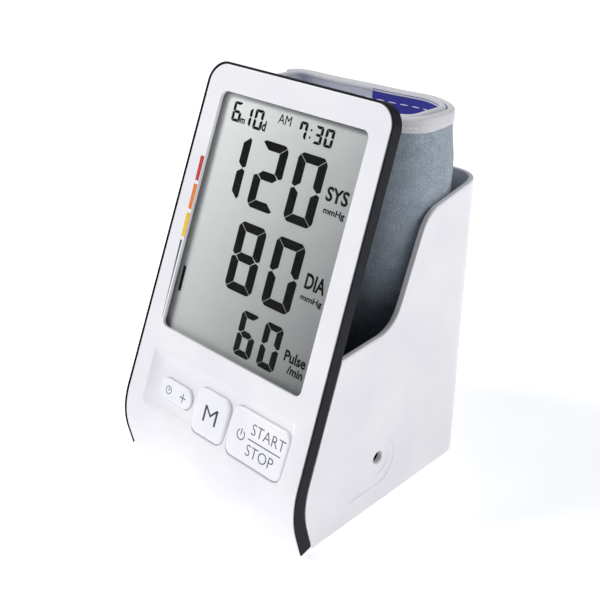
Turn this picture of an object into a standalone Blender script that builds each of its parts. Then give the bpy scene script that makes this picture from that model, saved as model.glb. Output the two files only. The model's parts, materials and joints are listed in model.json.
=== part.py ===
# Upper arm blood pressure monitor with its cuff rolled up in a rear pocket.
# Lengths here are millimetres; put_mesh scales them to metres. +Z is up, the display faces -Y,
# and the origin is on the surface the monitor stands on, under the middle of its outline.
import math

import bmesh
import bpy
from mathutils import Matrix, Vector

MM = 0.001

# Driving dimensions of the housing.
HEIGHT = 169.4
DEPTH = 111.2
BASE_HALF_WIDTH = 52.2
SIDE_DRAFT = 0.0259
FACE_LEAN = math.radians(19.54)
FACE_TOP_Y = -4.87
CORNER_RADIUS = 9.5
BELLY_TOP_Z = 33.0
BELLY_RADIUS = 36.0
BELLY_TUCK = math.radians(15.0)
FLOOR_Z = 1.8
WALL = 2.3
GAP = 0.3
REAR_RADIUS = 12.5

# The front unit, measured inwards from the face.
LIP = 0.6
BAND_DEPTH = 5.4
COVER_THICKNESS = 2.4
WINDOW_TOP, WINDOW_BOTTOM = 11.4, 112.8
WINDOW_HALF_TOP, WINDOW_HALF_BOTTOM = 38.4, 39.9
TRAY = (-41.0, 42.0, 121.8, 149.5)
TRAY_DEPTH = 1.2
KEY_CLEARANCE = 0.35
UNIT_BACK_DEPTH = 10.2
UNIT_BOTTOM = 119.8

# Keys as left, right, top and bottom on the face.
ROCKER_KEY = (-32.3, -13.2, 132.7, 141.7)
MEMORY_KEY = (-10.8, 8.4, 128.2, 147.6)
START_KEY = (10.0, 41.0, 127.2, 147.8)
KEY_TOP_DEPTH = 0.25

# The side openings.
SOCKET_Y, SOCKET_Z = -6.7, 24.3
JACK_HOLE_RADIUS = 2.75
AIR_HOLE_RADIUS = 4.6

# The cuff pocket, the battery bay and the cuff.
POCKET_FRONT_Y = 0.2
POCKET_FLOOR_Z = 21.3
SHELF_Z = 57.4
SHELF_FRONT_Y = -33.2
LINER_BOTTOM_Z = 19.8
POST_PLACES = ((-41, 4.5), (41, 4.5), (-38.5, 43), (38.5, 43))
CUFF_X, CUFF_Y = 0.5, 26.6
CUFF_HALF_WIDTH, CUFF_HALF_DEPTH = 44.7, 22.2
CUFF_BOTTOM_Z, CUFF_TOP_Z = 21.7, 160.0
CUFF_SIDES = 40
CELL_RADIUS, CELL_LENGTH, CELL_PITCH = 7.1, 50.3, 15.0
BAY_CENTRE_Y = 21.5
DOOR_HALF_WIDTH = 30.6
DOOR_FRONT_Y = -9.6

# The pump, which lies across the housing behind the keys.
PUMP_Y, PUMP_Z = -28.0, 24.5
MOTOR_RADIUS, HEAD_RADIUS = 12.0, 13.4

# Where the small parts sit, as x and y, and the depth of the cuff's air inlet.
VALVE_PLACE = (30.0, -27.0)
SENSOR_PLACE = (24.0, -40.0)
FOOT_PLACES = ((-43.0, -36.0), (43.0, -36.0), (-40.0, 33.0), (40.0, 33.0))
INLET_Y = 48.9


def clear_scene():
    for old in list(bpy.data.objects):
        bpy.data.objects.remove(old, do_unlink=True)


def material(name, colour, roughness, metallic=0.0, alpha=1.0):
    made = bpy.data.materials.new(name)
    made.use_nodes = True
    shader = made.node_tree.nodes["Principled BSDF"]
    shader.inputs["Base Color"].default_value = (*colour, 1.0)
    shader.inputs["Roughness"].default_value = roughness
    shader.inputs["Metallic"].default_value = metallic
    shader.inputs["Alpha"].default_value = alpha
    return made


def put_mesh(name, bm, finish, origin=(0, 0, 0), smooth=None):
    # The mesh is given in world millimetres; the object's origin goes to the point given.
    bmesh.ops.recalc_face_normals(bm, faces=bm.faces)
    bmesh.ops.transform(bm, matrix=Matrix.Scale(MM, 4), verts=bm.verts)
    place = Vector(origin) * MM
    bmesh.ops.translate(bm, vec=-place, verts=bm.verts)
    mesh = bpy.data.meshes.new(name)
    bm.to_mesh(mesh)
    bm.free()
    made = bpy.data.objects.new(name, mesh)
    made.location = place
    bpy.context.collection.objects.link(made)
    mesh.materials.append(finish)
    if smooth is not None:
        mesh.shade_smooth()
        mesh.set_sharp_from_angle(angle=math.radians(smooth))
    return made


def loft(sections, closed=False, caps="flat"):
    # Skins equal loops of points. Strip caps pair each loop's first half with its second half.
    bm = bmesh.new()
    rows = [[bm.verts.new(point) for point in section] for section in sections]
    count = len(sections[0])
    steps = len(rows) if closed else len(rows) - 1
    for row in range(steps):
        near, far = rows[row], rows[(row + 1) % len(rows)]
        for k in range(count):
            following = (k + 1) % count
            bm.faces.new((near[k], near[following], far[following], far[k]))
    if closed:
        return bm
    for end in (rows[0], rows[-1]):
        if caps == "flat":
            bm.faces.new(end)
            continue
        for k in range(count // 2 - 1):
            bm.faces.new((end[k], end[k + 1], end[count - 2 - k], end[count - 1 - k]))
    return bm


def turned(profile, origin, axis, sides=20):
    # Turns (radius, height) pairs about an axis; a profile that starts and ends at radius 0 is closed.
    toward = Vector(axis).normalized()
    across = toward.orthogonal().normalized()
    beside = toward.cross(across)
    base = Vector(origin)
    bm = bmesh.new()
    rings = []
    for radius, height in profile:
        centre = base + toward * height
        if radius == 0:
            rings.append([bm.verts.new(centre)])
            continue
        ring = []
        for k in range(sides):
            turn = 2 * math.pi * k / sides
            ring.append(bm.verts.new(centre + (across * math.cos(turn) + beside * math.sin(turn)) * radius))
        rings.append(ring)
    closed = len(rings[0]) > 1
    pairs = list(zip(rings, rings[1:])) + ([(rings[-1], rings[0])] if closed else [])
    for near, far in pairs:
        for k in range(sides):
            following = (k + 1) % sides
            if len(near) == 1:
                bm.faces.new((near[0], far[following], far[k]))
            elif len(far) == 1:
                bm.faces.new((near[k], near[following], far[0]))
            else:
                bm.faces.new((near[k], near[following], far[following], far[k]))
    return bm


def box(x0, x1, y0, y1, z0, z1):
    corners = [(x0, y0), (x1, y0), (x1, y1), (x0, y1)]
    return loft([[(x, y, z) for x, y in corners] for z in (z0, z1)])


def cut(target, name, bm, operation="DIFFERENCE"):
    cutter = put_mesh(name, bm, target.data.materials[0])
    cutter.hide_render = True
    cutter.display_type = "WIRE"
    cutting = target.modifiers.new(name, "BOOLEAN")
    cutting.operation = operation
    cutting.solver = "EXACT"
    cutting.object = cutter


def rounded_rect(left, right, top, bottom, radius, steps=4):
    # Corner arcs of one rectangle, in order round it.
    points = []
    corners = ((right - radius, top + radius, -90), (right - radius, bottom - radius, 0),
               (left + radius, bottom - radius, 90), (left + radius, top + radius, 180))
    for cx, cy, start in corners:
        for k in range(steps + 1):
            turn = math.radians(start + 90 * k / steps)
            points.append((cx + radius * math.cos(turn), cy + radius * math.sin(turn)))
    return points


def grown(rect, amount):
    left, right, top, bottom = rect
    return (left - amount, right + amount, top - amount, bottom + amount)


# Face coordinates: u across, s down the face from its top edge, d inwards from its surface.
BELLY_START = (HEIGHT - BELLY_TOP_Z) / math.cos(FACE_LEAN)
BELLY_END = BELLY_START + BELLY_RADIUS * (FACE_LEAN + BELLY_TUCK)


def half_width(z):
    return BASE_HALF_WIDTH - SIDE_DRAFT * z


def face_flat(u, s, d):
    y = FACE_TOP_Y - s * math.sin(FACE_LEAN) + d * math.cos(FACE_LEAN)
    z = HEIGHT - s * math.cos(FACE_LEAN) - d * math.sin(FACE_LEAN)
    return (u, y, z)


BELLY_CENTRE = face_flat(0, BELLY_START, BELLY_RADIUS)


def face_point(u, s, d):
    # Follows the flat face, then the belly arc, then the straight tuck down to the base.
    if s <= BELLY_START:
        return face_flat(u, s, d)
    turn = FACE_LEAN - (min(s, BELLY_END) - BELLY_START) / BELLY_RADIUS
    run = max(s - BELLY_END, 0.0)
    reach = BELLY_RADIUS - d
    y = BELLY_CENTRE[1] - reach * math.cos(turn) - run * math.sin(turn)
    z = BELLY_CENTRE[2] + reach * math.sin(turn) - run * math.cos(turn)
    return (u, y, z)


def face_height(s, d):
    return face_point(0, s, d)[2]


BASE_S = BELLY_END + (face_height(BELLY_END, 0) - FLOOR_Z) / math.cos(BELLY_TUCK)


def front_y(z, d):
    # Where the surface that lies d behind the face is at height z.
    reach = BELLY_RADIUS - d
    rise = z - BELLY_CENTRE[2]
    if rise > reach * math.sin(FACE_LEAN):
        return FACE_TOP_Y - (HEIGHT - z) * math.tan(FACE_LEAN) + d / math.cos(FACE_LEAN)
    if rise > -reach * math.sin(BELLY_TUCK):
        return BELLY_CENTRE[1] - math.sqrt(reach ** 2 - rise ** 2)
    fall = -rise - reach * math.sin(BELLY_TUCK)
    return BELLY_CENTRE[1] - reach * math.cos(BELLY_TUCK) + fall * math.tan(BELLY_TUCK)


def face_rows(first):
    # Rows down the face, close together round the top corners and over the belly.
    rows = [first + (CORNER_RADIUS - first) * (1 - math.cos(math.radians(a))) for a in range(0, 91, 15)]
    rows += [45.0, 80.0, 115.0, BELLY_START]
    rows += [BELLY_START + (BELLY_END - BELLY_START) * k / 8 for k in range(1, 9)]
    return rows + [BASE_S]


def row_half_width(s, inset):
    width = half_width(face_height(s, 0)) - inset
    radius = CORNER_RADIUS - inset
    fall = min(max(CORNER_RADIUS - s, 0.0), radius)
    return width - radius + math.sqrt(radius ** 2 - fall ** 2)


def face_prism(rect, radius, near, far, steps=4):
    outline = rounded_rect(*rect, radius, steps)
    return loft([[face_flat(u, s, d) for u, s in outline] for d in (near, far)])


def window_prism(near, far):
    # The window widens a little towards the keys, as the housing does.
    outline = []
    for side, s in rounded_rect(-1, 1, WINDOW_TOP / 40, WINDOW_BOTTOM / 40, 3.0 / 40):
        share = (s * 40 - WINDOW_TOP) / (WINDOW_BOTTOM - WINDOW_TOP)
        half = WINDOW_HALF_TOP + (WINDOW_HALF_BOTTOM - WINDOW_HALF_TOP) * share
        outline.append((side * half, s * 40))
    return loft([[face_flat(u, s, d) for u, s in outline] for d in (near, far)])


def front_cover(finish):
    inset = LIP + GAP
    sections = []
    for s in face_rows(inset):
        half = row_half_width(s, inset)
        outline = ((-half, 0), (half, 0), (half, COVER_THICKNESS), (-half, COVER_THICKNESS))
        sections.append([face_point(u, s, d) for u, d in outline])
    cover = put_mesh("front_cover", loft(sections), finish, smooth=30)
    cut(cover, "window_cutter", window_prism(-2, 4))
    cut(cover, "rebate_cutter", face_prism((-41.6, 41.6, 9.0, 115.6), 4.0, TRAY_DEPTH, 6))
    cut(cover, "tray_cutter", face_prism(TRAY, 3.5, -3, TRAY_DEPTH))
    cut(cover, "rocker_cutter", face_prism(grown(ROCKER_KEY, KEY_CLEARANCE), 4.4, -3, 6))
    cut(cover, "memory_cutter", face_prism(grown(MEMORY_KEY, KEY_CLEARANCE), 4.35, -3, 6))
    cut(cover, "start_cutter", face_prism(grown(START_KEY, KEY_CLEARANCE), 4.35, -3, 6))
    return cover


def band_stations():
    # Points up the left edge, round the top and down the right edge, each with its inward direction.
    sides = [s for s in face_rows(CORNER_RADIUS) if s > CORNER_RADIUS]
    stations = [(-1, s, None) for s in reversed(sides)]
    for turn in range(180, -1, -15):
        stations.append((-1 if turn > 90 else 1, CORNER_RADIUS, math.radians(turn)))
        if turn == 90:
            stations.insert(-1, (-1, CORNER_RADIUS, math.radians(turn)))
    return stations + [(1, s, None) for s in sides]


def band_point(station, inset, d):
    side, s, turn = station
    half = half_width(face_height(s, 0))
    if turn is None:
        return face_point(side * (half - inset), s, d)
    radius = CORNER_RADIUS - inset
    u = side * (half - CORNER_RADIUS) + radius * math.cos(turn)
    return face_point(u, CORNER_RADIUS - radius * math.sin(turn), d)


def mid_frame(finish):
    # The dark band: a thin lip round the cover, and a wider rail behind it.
    profile = ((0, BAND_DEPTH), (0, 0.2), (0.15, -0.3), (LIP - 0.1, -0.3), (LIP, 0.2),
               (LIP, COVER_THICKNESS + GAP), (2.4, COVER_THICKNESS + GAP), (2.4, BAND_DEPTH))
    sections = [[band_point(station, i, d) for i, d in profile] for station in band_stations()]
    return put_mesh("mid_frame", loft(sections, caps="strip"), finish, smooth=30)


def back_outline(inset, d, bottom):
    # A closed loop on the face plane, inset from the housing's edge, down to a flat bottom edge.
    radius = max(CORNER_RADIUS - inset, 2.0)
    top = inset
    loop = []
    for k in range(6):
        turn = math.radians(180 - 18 * k)
        half = half_width(face_height(top, 0)) - inset
        loop.append((-half + radius + radius * math.cos(turn), top + radius - radius * math.sin(turn)))
    mirrored = [(-u, s) for u, s in reversed(loop)]
    foot = half_width(face_height(bottom, 0)) - inset
    return [face_flat(u, s, d) for u, s in loop + mirrored + [(foot, bottom), (-foot, bottom)]]


def unit_back_cover(finish):
    # A shallow dish that closes the display unit from behind and faces the cuff.
    steps = ((2.8, 3.4, 0), (2.8, 5.7, 0), (4.6, 7.0, 0), (5.6, UNIT_BACK_DEPTH, -1.0))
    inner = ((7.2, 8.6, -2.6), (6.5, 5.9, -1.6), (4.9, 5.7, -1.6), (4.9, 3.4, -1.6))
    outer_loops = [back_outline(i, d, UNIT_BOTTOM + b) for i, d, b in reversed(steps)]
    inner_loops = [back_outline(i, d, UNIT_BOTTOM + b) for i, d, b in reversed(inner)]
    cover = put_mesh("unit_back_cover", loft(outer_loops + inner_loops), finish, smooth=30)
    cut(cover, "ribbon_notch_cutter", face_prism((-8, 8, 113, 123), 0.5, 3.0, 7.4))
    return cover


def rim_line():
    # The rear wall's edge, as y and height: low beside the keys, then an S up to the back.
    corners = ((-40.0, 78.2, 0), (-0.5, 80.9, 14.4), (17.2, 123.7, 13.6), (47.0, 130.0, 20.0),
               (60.0, 130.0, 0))
    line = [Vector(corners[0][:2])]
    for before, corner, after in zip(corners, corners[1:], corners[2:]):
        apex = Vector(corner[:2])
        back = (Vector(before[:2]) - apex).normalized()
        ahead = (Vector(after[:2]) - apex).normalized()
        half_turn = back.angle(ahead) / 2
        reach = corner[2] / math.tan(half_turn)
        centre = apex + (back + ahead).normalized() * corner[2] / math.sin(half_turn)
        start, end = apex + back * reach - centre, apex + ahead * reach - centre
        for k in range(7):
            spoke = start.lerp(end, k / 6).normalized() * corner[2]
            line.append(centre + spoke)
    return line + [Vector(corners[-1][:2])]


RIM = rim_line()


def rim_height(y):
    for low, high in zip(RIM, RIM[1:]):
        if y <= high.x:
            return low.y + (high.y - low.y) * (y - low.x) / (high.x - low.x)
    return RIM[-1].y


def rear_stations():
    # Plan stations from the left front edge round the back to the right front edge.
    shares = [0, 0.15, 0.26, 0.3, 0.34, 0.38, 0.42, 0.46, 0.5, 0.53, 0.56, 0.6, 0.64, 0.68, 0.8, 0.92, 1.0]
    left = [("side", -1, share) for share in shares]
    corner = [("corner", -1, 180 - 15 * k) for k in range(1, 7)]
    rear = [("rear", 0, share) for share in (0.33, 0.67)]
    other = [("corner", 1, 90 - 15 * k) for k in range(0, 6)]
    right = [("side", 1, share) for share in reversed(shares)]
    return left + corner + rear + other + right


def rear_place(station, z, inset):
    kind, side, value = station
    half = half_width(z)
    back = DEPTH / 2
    radius = REAR_RADIUS - inset
    if kind == "side":
        start = front_y(z, BAND_DEPTH + GAP)
        return (side * (half - inset), start + (back - REAR_RADIUS - start) * value, z)
    if kind == "rear":
        reach = half - REAR_RADIUS
        return (-reach + 2 * reach * value, back - inset, z)
    turn = math.radians(value)
    x = side * (half - REAR_RADIUS) + radius * math.cos(turn)
    return (x, back - REAR_RADIUS + radius * math.sin(turn), z)


def rear_rim(station):
    height = 80.0
    for settle in range(12):
        height = 0.5 * height + 0.5 * rim_height(rear_place(station, height, 0)[1])
    return height


def rear_section(station):
    rim = rear_rim(station)
    shares = (0, 0.03, 0.07, 0.11, 0.16, 0.22, 0.3, 0.4, 0.6, 0.8, 1)
    rows = [FLOOR_Z + (rim - 0.8 - FLOOR_Z) * share for share in shares]
    outside = [(0, z) for z in rows] + [(0.25, rim - 0.25), (0.8, rim)]
    inside = [(WALL - 0.8, rim), (WALL - 0.25, rim - 0.25)] + [(WALL, z) for z in reversed(rows)]
    return [rear_place(station, z, inset) for inset, z in outside + inside]


def rear_body(finish):
    sections = [rear_section(station) for station in rear_stations()]
    body = put_mesh("rear_body", loft(sections, caps="strip"), finish, smooth=30)
    hole = turned([(0, 0), (JACK_HOLE_RADIUS, 0), (JACK_HOLE_RADIUS, 12), (0, 12)],
                  (45, SOCKET_Y, SOCKET_Z), (1, 0, 0))
    cut(body, "jack_hole_cutter", hole)
    hole = turned([(0, 0), (AIR_HOLE_RADIUS, 0), (AIR_HOLE_RADIUS, 12), (0, 12)],
                  (-45, SOCKET_Y, SOCKET_Z), (-1, 0, 0))
    cut(body, "air_hole_cutter", hole)
    notch = DOOR_HALF_WIDTH + 0.5
    cut(body, "door_notch_cutter", box(-notch, notch, 50, 60, 0, 4.2))
    return body


def plan_outline(inset, front, z, radius):
    # The housing's plan at one height: square at the front, round at the two back corners.
    half = half_width(z) - inset
    back = DEPTH / 2 - inset
    loop = [(-half, front), (half, front)]
    for side, start in ((1, 0), (-1, 90)):
        for k in range(7):
            turn = math.radians(start + 15 * k)
            across = side * (half - radius) + radius * math.cos(turn)
            loop.append((across, back - radius + radius * math.sin(turn)))
    return [(x, y, z) for x, y in loop]


def pocket_liner(finish):
    # The pocket's floor and front wall in one, with four screw posts under the floor.
    inset = WALL + 0.5
    floor = [plan_outline(inset, POCKET_FRONT_Y - 1.6, z, REAR_RADIUS - inset)
             for z in (LINER_BOTTOM_Z, POCKET_FLOOR_Z)]
    liner = put_mesh("pocket_liner", loft(floor), finish)
    side = half_width(SHELF_Z) - inset
    foot = POCKET_FLOOR_Z - 0.8
    outline = ((POCKET_FRONT_Y, foot), (POCKET_FRONT_Y, SHELF_Z), (SHELF_FRONT_Y, SHELF_Z),
               (SHELF_FRONT_Y, SHELF_Z - 1.6), (POCKET_FRONT_Y - 1.8, SHELF_Z - 1.6),
               (POCKET_FRONT_Y - 1.8, foot))
    cut(liner, "pocket_front_wall", loft([[(x, y, z) for y, z in outline] for x in (-side, side)]), "UNION")
    for k, (x, y) in enumerate(POST_PLACES):
        post = turned([(0, 4.4), (3.4, 4.4), (3.4, 20.5), (0, 20.5)], (x, y, 0), (0, 0, 1), 14)
        cut(liner, "post_%d" % (k + 1), post, "UNION")
        bore = turned([(0, 0), (1.8, 0), (1.8, 16), (0, 16)], (x, y, 0), (0, 0, 1), 12)
        cut(liner, "post_bore_%d" % (k + 1), bore)
    return liner


def base_cover(finish):
    # The underside, with stepped rails for the battery door and holes for the screws.
    front = front_y(FLOOR_Z, COVER_THICKNESS) + 0.6
    levels = (FLOOR_Z, 4.0)
    outlines = [plan_outline(2.7, front, z, REAR_RADIUS - 2.7) for z in levels]
    cover = put_mesh("base_cover", loft(outlines), finish)
    lower, upper = DOOR_HALF_WIDTH - 1.2, DOOR_HALF_WIDTH + 0.4
    cut(cover, "door_opening_cutter", box(-lower, lower, DOOR_FRONT_Y - 0.4, 60, 0, 6))
    cut(cover, "door_rail_cutter", box(-upper, upper, DOOR_FRONT_Y - 0.4, 60, 2.75, 6))
    for k, (x, y) in enumerate(POST_PLACES):
        hole = turned([(0, 0), (3.2, 0), (3.2, 2.9), (1.8, 2.9), (1.8, 6), (0, 6)], (x, y, 0), (0, 0, 1), 14)
        cut(cover, "screw_hole_%d" % (k + 1), hole)
    return cover


def battery_door(finish):
    # Slides out at the back; its wider upper step runs on the base cover's rails.
    lower, upper = DOOR_HALF_WIDTH - 1.6, DOOR_HALF_WIDTH
    profile = ((-lower, 1.8), (lower, 1.8), (lower, 3.05), (upper, 3.05), (upper, 3.9), (-upper, 3.9),
               (-upper, 3.05), (-lower, 3.05))
    ends = (DOOR_FRONT_Y, DEPTH / 2 - 0.1)
    origin = (0, DOOR_FRONT_Y, 1.8)
    return put_mesh("battery_door", loft([[(x, y, z) for x, z in profile] for y in ends]), finish, origin)


def battery_tray(finish):
    # An open box, mouth down, that holds the four cells over the door.
    low, top = 4.3, LINER_BOTTOM_Z - GAP
    half, front, back = 31.2, -10.2, 52.2
    outer = [(-half, front), (half, front), (half, back), (-half, back)]
    inner = [(-half + 1, front + 1), (half - 1, front + 1), (half - 1, back - 1), (-half + 1, back - 1)]
    sections = [[(x, y, top) for x, y in outer], [(x, y, low) for x, y in outer],
                [(x, y, low) for x, y in inner], [(x, y, top - 1) for x, y in inner]]
    return put_mesh("battery_tray", loft(sections), finish)


def battery_cells(finish):
    for k in range(4):
        y = BAY_CENTRE_Y + (k - 1.5) * CELL_PITCH
        side = 1 if k % 2 else -1
        start = -side * CELL_LENGTH / 2
        profile = ((0, 0), (4.6, 0), (CELL_RADIUS, 0.4), (CELL_RADIUS, 48.6), (5.6, 49.0), (2.7, 49.0),
                   (2.6, CELL_LENGTH), (0, CELL_LENGTH))
        cell = turned(profile, (start, y, 11.2), (side, 0, 0), 24)
        put_mesh("battery_%d" % (k + 1), cell, finish, (0, y, 11.2), smooth=40)


def contact_springs(finish):
    # One conical wire spring presses on each cell's flat end.
    for k in range(4):
        y = BAY_CENTRE_Y + (k - 1.5) * CELL_PITCH
        side = 1 if k % 2 else -1
        rings = []
        for step in range(28):
            turn = 2 * math.pi * step / 9
            share = step / 27
            coil = 4.6 - 2.2 * share
            spoke = Vector((0, math.cos(turn), math.sin(turn)))
            middle = Vector((-side * (28.9 - 3.0 * share), y, 11.2)) + spoke * coil
            rings.append([middle + (spoke * math.cos(a) + Vector((1, 0, 0)) * math.sin(a)) * 0.3
                          for a in [2 * math.pi * j / 5 for j in range(5)]])
        put_mesh("battery_spring_%d" % (k + 1), loft(rings), finish, smooth=50)


def contact_plates(finish):
    for name, side in (("left_contact_plate", -1), ("right_contact_plate", 1)):
        x0, x1 = sorted((side * 29.5, side * 29.9))
        put_mesh(name, box(x0, x1, BAY_CENTRE_Y - 29, BAY_CENTRE_Y + 29, 6, 17), finish)


def fasteners_and_feet(screw_finish, rubber_finish):
    for k, (x, y) in enumerate(POST_PLACES):
        shank = turned([(0, 1.9), (2.7, 1.9), (2.7, 2.6), (1.4, 2.6), (1.4, 14.5), (0, 15.2)],
                       (x, y, 0), (0, 0, 1), 12)
        put_mesh("base_screw_%d" % (k + 1), shank, screw_finish, smooth=40)
    for k, (x, y) in enumerate(FOOT_PLACES):
        foot = turned([(0, 0), (4.2, 0), (4.8, 0.5), (4.8, FLOOR_Z - GAP), (0, FLOOR_Z - GAP)],
                      (x, y, 0), (0, 0, 1), 24)
        put_mesh("foot_%d" % (k + 1), foot, rubber_finish, smooth=40)


def display_stack(window_finish, glass_finish, frame_finish, rubber_finish):
    put_mesh("display_window", face_prism((-41.2, 41.2, 9.4, 115.2), 3.6, 1.5, 2.6), window_finish)
    put_mesh("lcd_panel", face_prism((-40.9, 40.9, 9.6, 114.8), 0.6, 2.9, 4.5, 2), glass_finish)
    holder = put_mesh("lcd_holder", face_prism((-42.9, 42.9, 7.6, 117.0), 2.0, 2.9, 5.4), frame_finish)
    cut(holder, "holder_cutter", face_prism((-41.3, 41.3, 9.2, 115.2), 0.8, 1, 8))
    strip = face_prism((-34, 34, 104.5, 107.5), 0.5, 4.8, 5.7, 2)
    put_mesh("lcd_connector_strip", strip, rubber_finish)


def circuit_boards(board_finish, chip_finish, ribbon_finish):
    put_mesh("main_board", face_prism((-40.6, 40.6, 16, 109), 1.0, 6.0, 7.4, 2), board_finish)
    put_mesh("key_board", face_prism((-42, 43, 121.5, 151), 1.0, 6.0, 7.4, 2), board_finish)
    put_mesh("board_ribbon", face_prism((-7, 7, 109.4, 121.1), 0.3, 6.2, 6.6, 1), ribbon_finish)
    # The hidden side of the main board carries the processor.
    put_mesh("processor_chip", box_on_face(-7, 7, 60, 74, 7.6, 8.4), chip_finish)
    put_mesh("power_board", box(-46, 46, -46, -14, 5, 6.6), board_finish)


def box_on_face(left, right, top, bottom, near, far):
    corners = ((left, top), (right, top), (right, bottom), (left, bottom))
    return loft([[face_flat(u, s, d) for u, s in corners] for d in (near, far)])


def key(name, rect, radius, flange, finish, pivot_depth=3.0):
    # A cap with a soft edge and a flange that keeps it behind the cover.
    flange_top, flange_bottom = flange
    steps = ((0.9, KEY_TOP_DEPTH), (0.3, KEY_TOP_DEPTH + 0.12), (0, KEY_TOP_DEPTH + 0.5), (0, flange_top),
             (-0.6, flange_top), (-0.6, flange_bottom))
    sections = []
    for inset, d in steps:
        outline = rounded_rect(*grown(rect, -inset), radius - inset, 5)
        sections.append([face_flat(u, s, d) for u, s in outline])
    middle = face_flat((rect[0] + rect[1]) / 2, (rect[2] + rect[3]) / 2, pivot_depth)
    return put_mesh(name, loft(sections), finish, middle, smooth=30)


def keypad(key_finish, rubber_finish):
    key("clock_plus_key", ROCKER_KEY, 4.0, (3.2, 3.8), key_finish, 3.5)
    key("memory_key", MEMORY_KEY, 4.0, (2.75, 3.5), key_finish)
    key("start_stop_key", START_KEY, 4.0, (2.75, 3.5), key_finish)
    put_mesh("rubber_keypad", face_prism((-41, 42, 124, 150.5), 2.0, 4.7, 5.7), rubber_finish)


def pump(motor_finish, head_finish, shaft_finish, foam_finish):
    # A motor turns an eccentric inside the pump head.
    along = (1, 0, 0)
    motor = ((0, 0), (11.2, 0), (MOTOR_RADIUS, 0.8), (MOTOR_RADIUS, 30.0), (1.4, 30.0), (1.4, 22.0),
             (0, 22.0))
    start = (-42.0, PUMP_Y, PUMP_Z)
    put_mesh("pump_motor", turned(motor, start, along), motor_finish, start, smooth=40)
    head = ((7.2, 30.3), (HEAD_RADIUS, 30.3), (HEAD_RADIUS, 50.0), (12.6, 51.0), (2.6, 51.0), (2.6, 56.0),
            (1.3, 56.0), (1.3, 45.0), (7.2, 45.0))
    put_mesh("pump_head", turned(head, start, along), head_finish, start, smooth=40)
    shaft = turned([(0, 22.4), (1.0, 22.4), (1.0, 42.0), (0, 42.0)], start, along, 20)
    rotor = put_mesh("pump_eccentric", shaft, shaft_finish, start, smooth=40)
    eccentric = (start[0], start[1], start[2] + 1.6)
    disc = turned([(0, 35.0), (4.2, 35.0), (4.2, 40.0), (0, 40.0)], eccentric, along, 24)
    cut(rotor, "eccentric_disc", disc, "UNION")
    bore, rind = HEAD_RADIUS + GAP, HEAD_RADIUS + 2.0
    sleeve = ((bore, 34.0), (rind, 34.0), (rind, 47.0), (bore, 47.0))
    put_mesh("pump_cushion", turned(sleeve, start, along), foam_finish, start, smooth=40)


def air_parts(valve_finish, plunger_finish, sensor_finish, clear_finish, socket_finish):
    # The deflation valve: a coil with a plunger that lifts to let the air out.
    x, y = VALVE_PLACE
    coil = ((1.9, 6.9), (7.0, 6.9), (7.0, 22.0), (1.9, 22.0))
    put_mesh("air_valve", turned(coil, (x, y, 0), (0, 0, 1), 24), valve_finish, (x, y, 6.9), smooth=40)
    plunger = ((0, 8.5), (1.6, 8.5), (1.6, 22.6), (3.0, 22.6), (3.0, 24.0), (0, 24.0))
    rod = turned(plunger, (x, y, 0), (0, 0, 1), 20)
    put_mesh("valve_plunger", rod, plunger_finish, (x, y, 8.5), smooth=40)
    sensor = ((0, 6.9), (4.5, 6.9), (4.5, 10.2), (1.6, 10.6), (1.6, 15.5), (0, 15.5))
    sx, sy = SENSOR_PLACE
    put_mesh("pressure_sensor", turned(sensor, (sx, sy, 0), (0, 0, 1), 20), sensor_finish, smooth=40)
    put_mesh("air_manifold", box(22, 40, -32, -24, 30, 36), socket_finish)
    tube("pump_tube", ((14.5, PUMP_Y, PUMP_Z), (16.8, PUMP_Y, 25.3), (17.2, PUMP_Y, 29.5),
                       (18.4, PUMP_Y, 32.6), (21.2, PUMP_Y, 33.0)), clear_finish)
    tube("sensor_tube", ((36, -32.4, 33), (36, -34.2, 33), (34, -38.5, 30.5), (sx + 3, sy, 27),
                         (sx, sy, 20), (sx, sy, 16)), clear_finish)
    tube("socket_tube", ((31, -23.6, 33), (31, -21.6, 33), (30, -16, 36.5), (24, -10, 42), (-10, -8, 44),
                         (-30, SOCKET_Y, 34), (-36, SOCKET_Y, 26), (-38.6, SOCKET_Y, SOCKET_Z),
                         (-40.6, SOCKET_Y, SOCKET_Z)), clear_finish)
    profile = ((2.0, 0.8), (4.3, 0.8), (4.3, 7.0), (2.4, 7.0), (2.4, 10.5), (1.2, 10.5), (1.2, 5.4),
               (2.0, 5.4))
    mouth = (-half_width(SOCKET_Z) + 0.2, SOCKET_Y, SOCKET_Z)
    put_mesh("air_socket", turned(profile, mouth, (1, 0, 0)), socket_finish, mouth, smooth=40)


def tube(name, route, finish, radius=1.9):
    curve = bpy.data.curves.new(name, "CURVE")
    curve.dimensions = "3D"
    curve.bevel_depth = radius * MM
    curve.bevel_resolution = 2
    curve.use_fill_caps = True
    spline = curve.splines.new("POLY")
    points = smooth_route([Vector(p) for p in route])
    spline.points.add(len(points) - 1)
    for slot, point in zip(spline.points, points):
        slot.co = (*(point * MM), 1.0)
    made = bpy.data.objects.new(name, curve)
    bpy.context.collection.objects.link(made)
    curve.materials.append(finish)
    return made


def smooth_route(route):
    # A Catmull-Rom curve through the route's own points.
    ends = [route[0] * 2 - route[1]] + route + [route[-1] * 2 - route[-2]]
    points = []
    for k in range(len(route) - 1):
        p0, p1, p2, p3 = ends[k:k + 4]
        for step in range(3):
            t = step / 3
            points.append(0.5 * (2 * p1 + (p2 - p0) * t + (2 * p0 - 5 * p1 + 4 * p2 - p3) * t * t
                                 + (3 * p1 - p0 - 3 * p2 + p3) * t ** 3))
    return points + [route[-1]]


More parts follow.
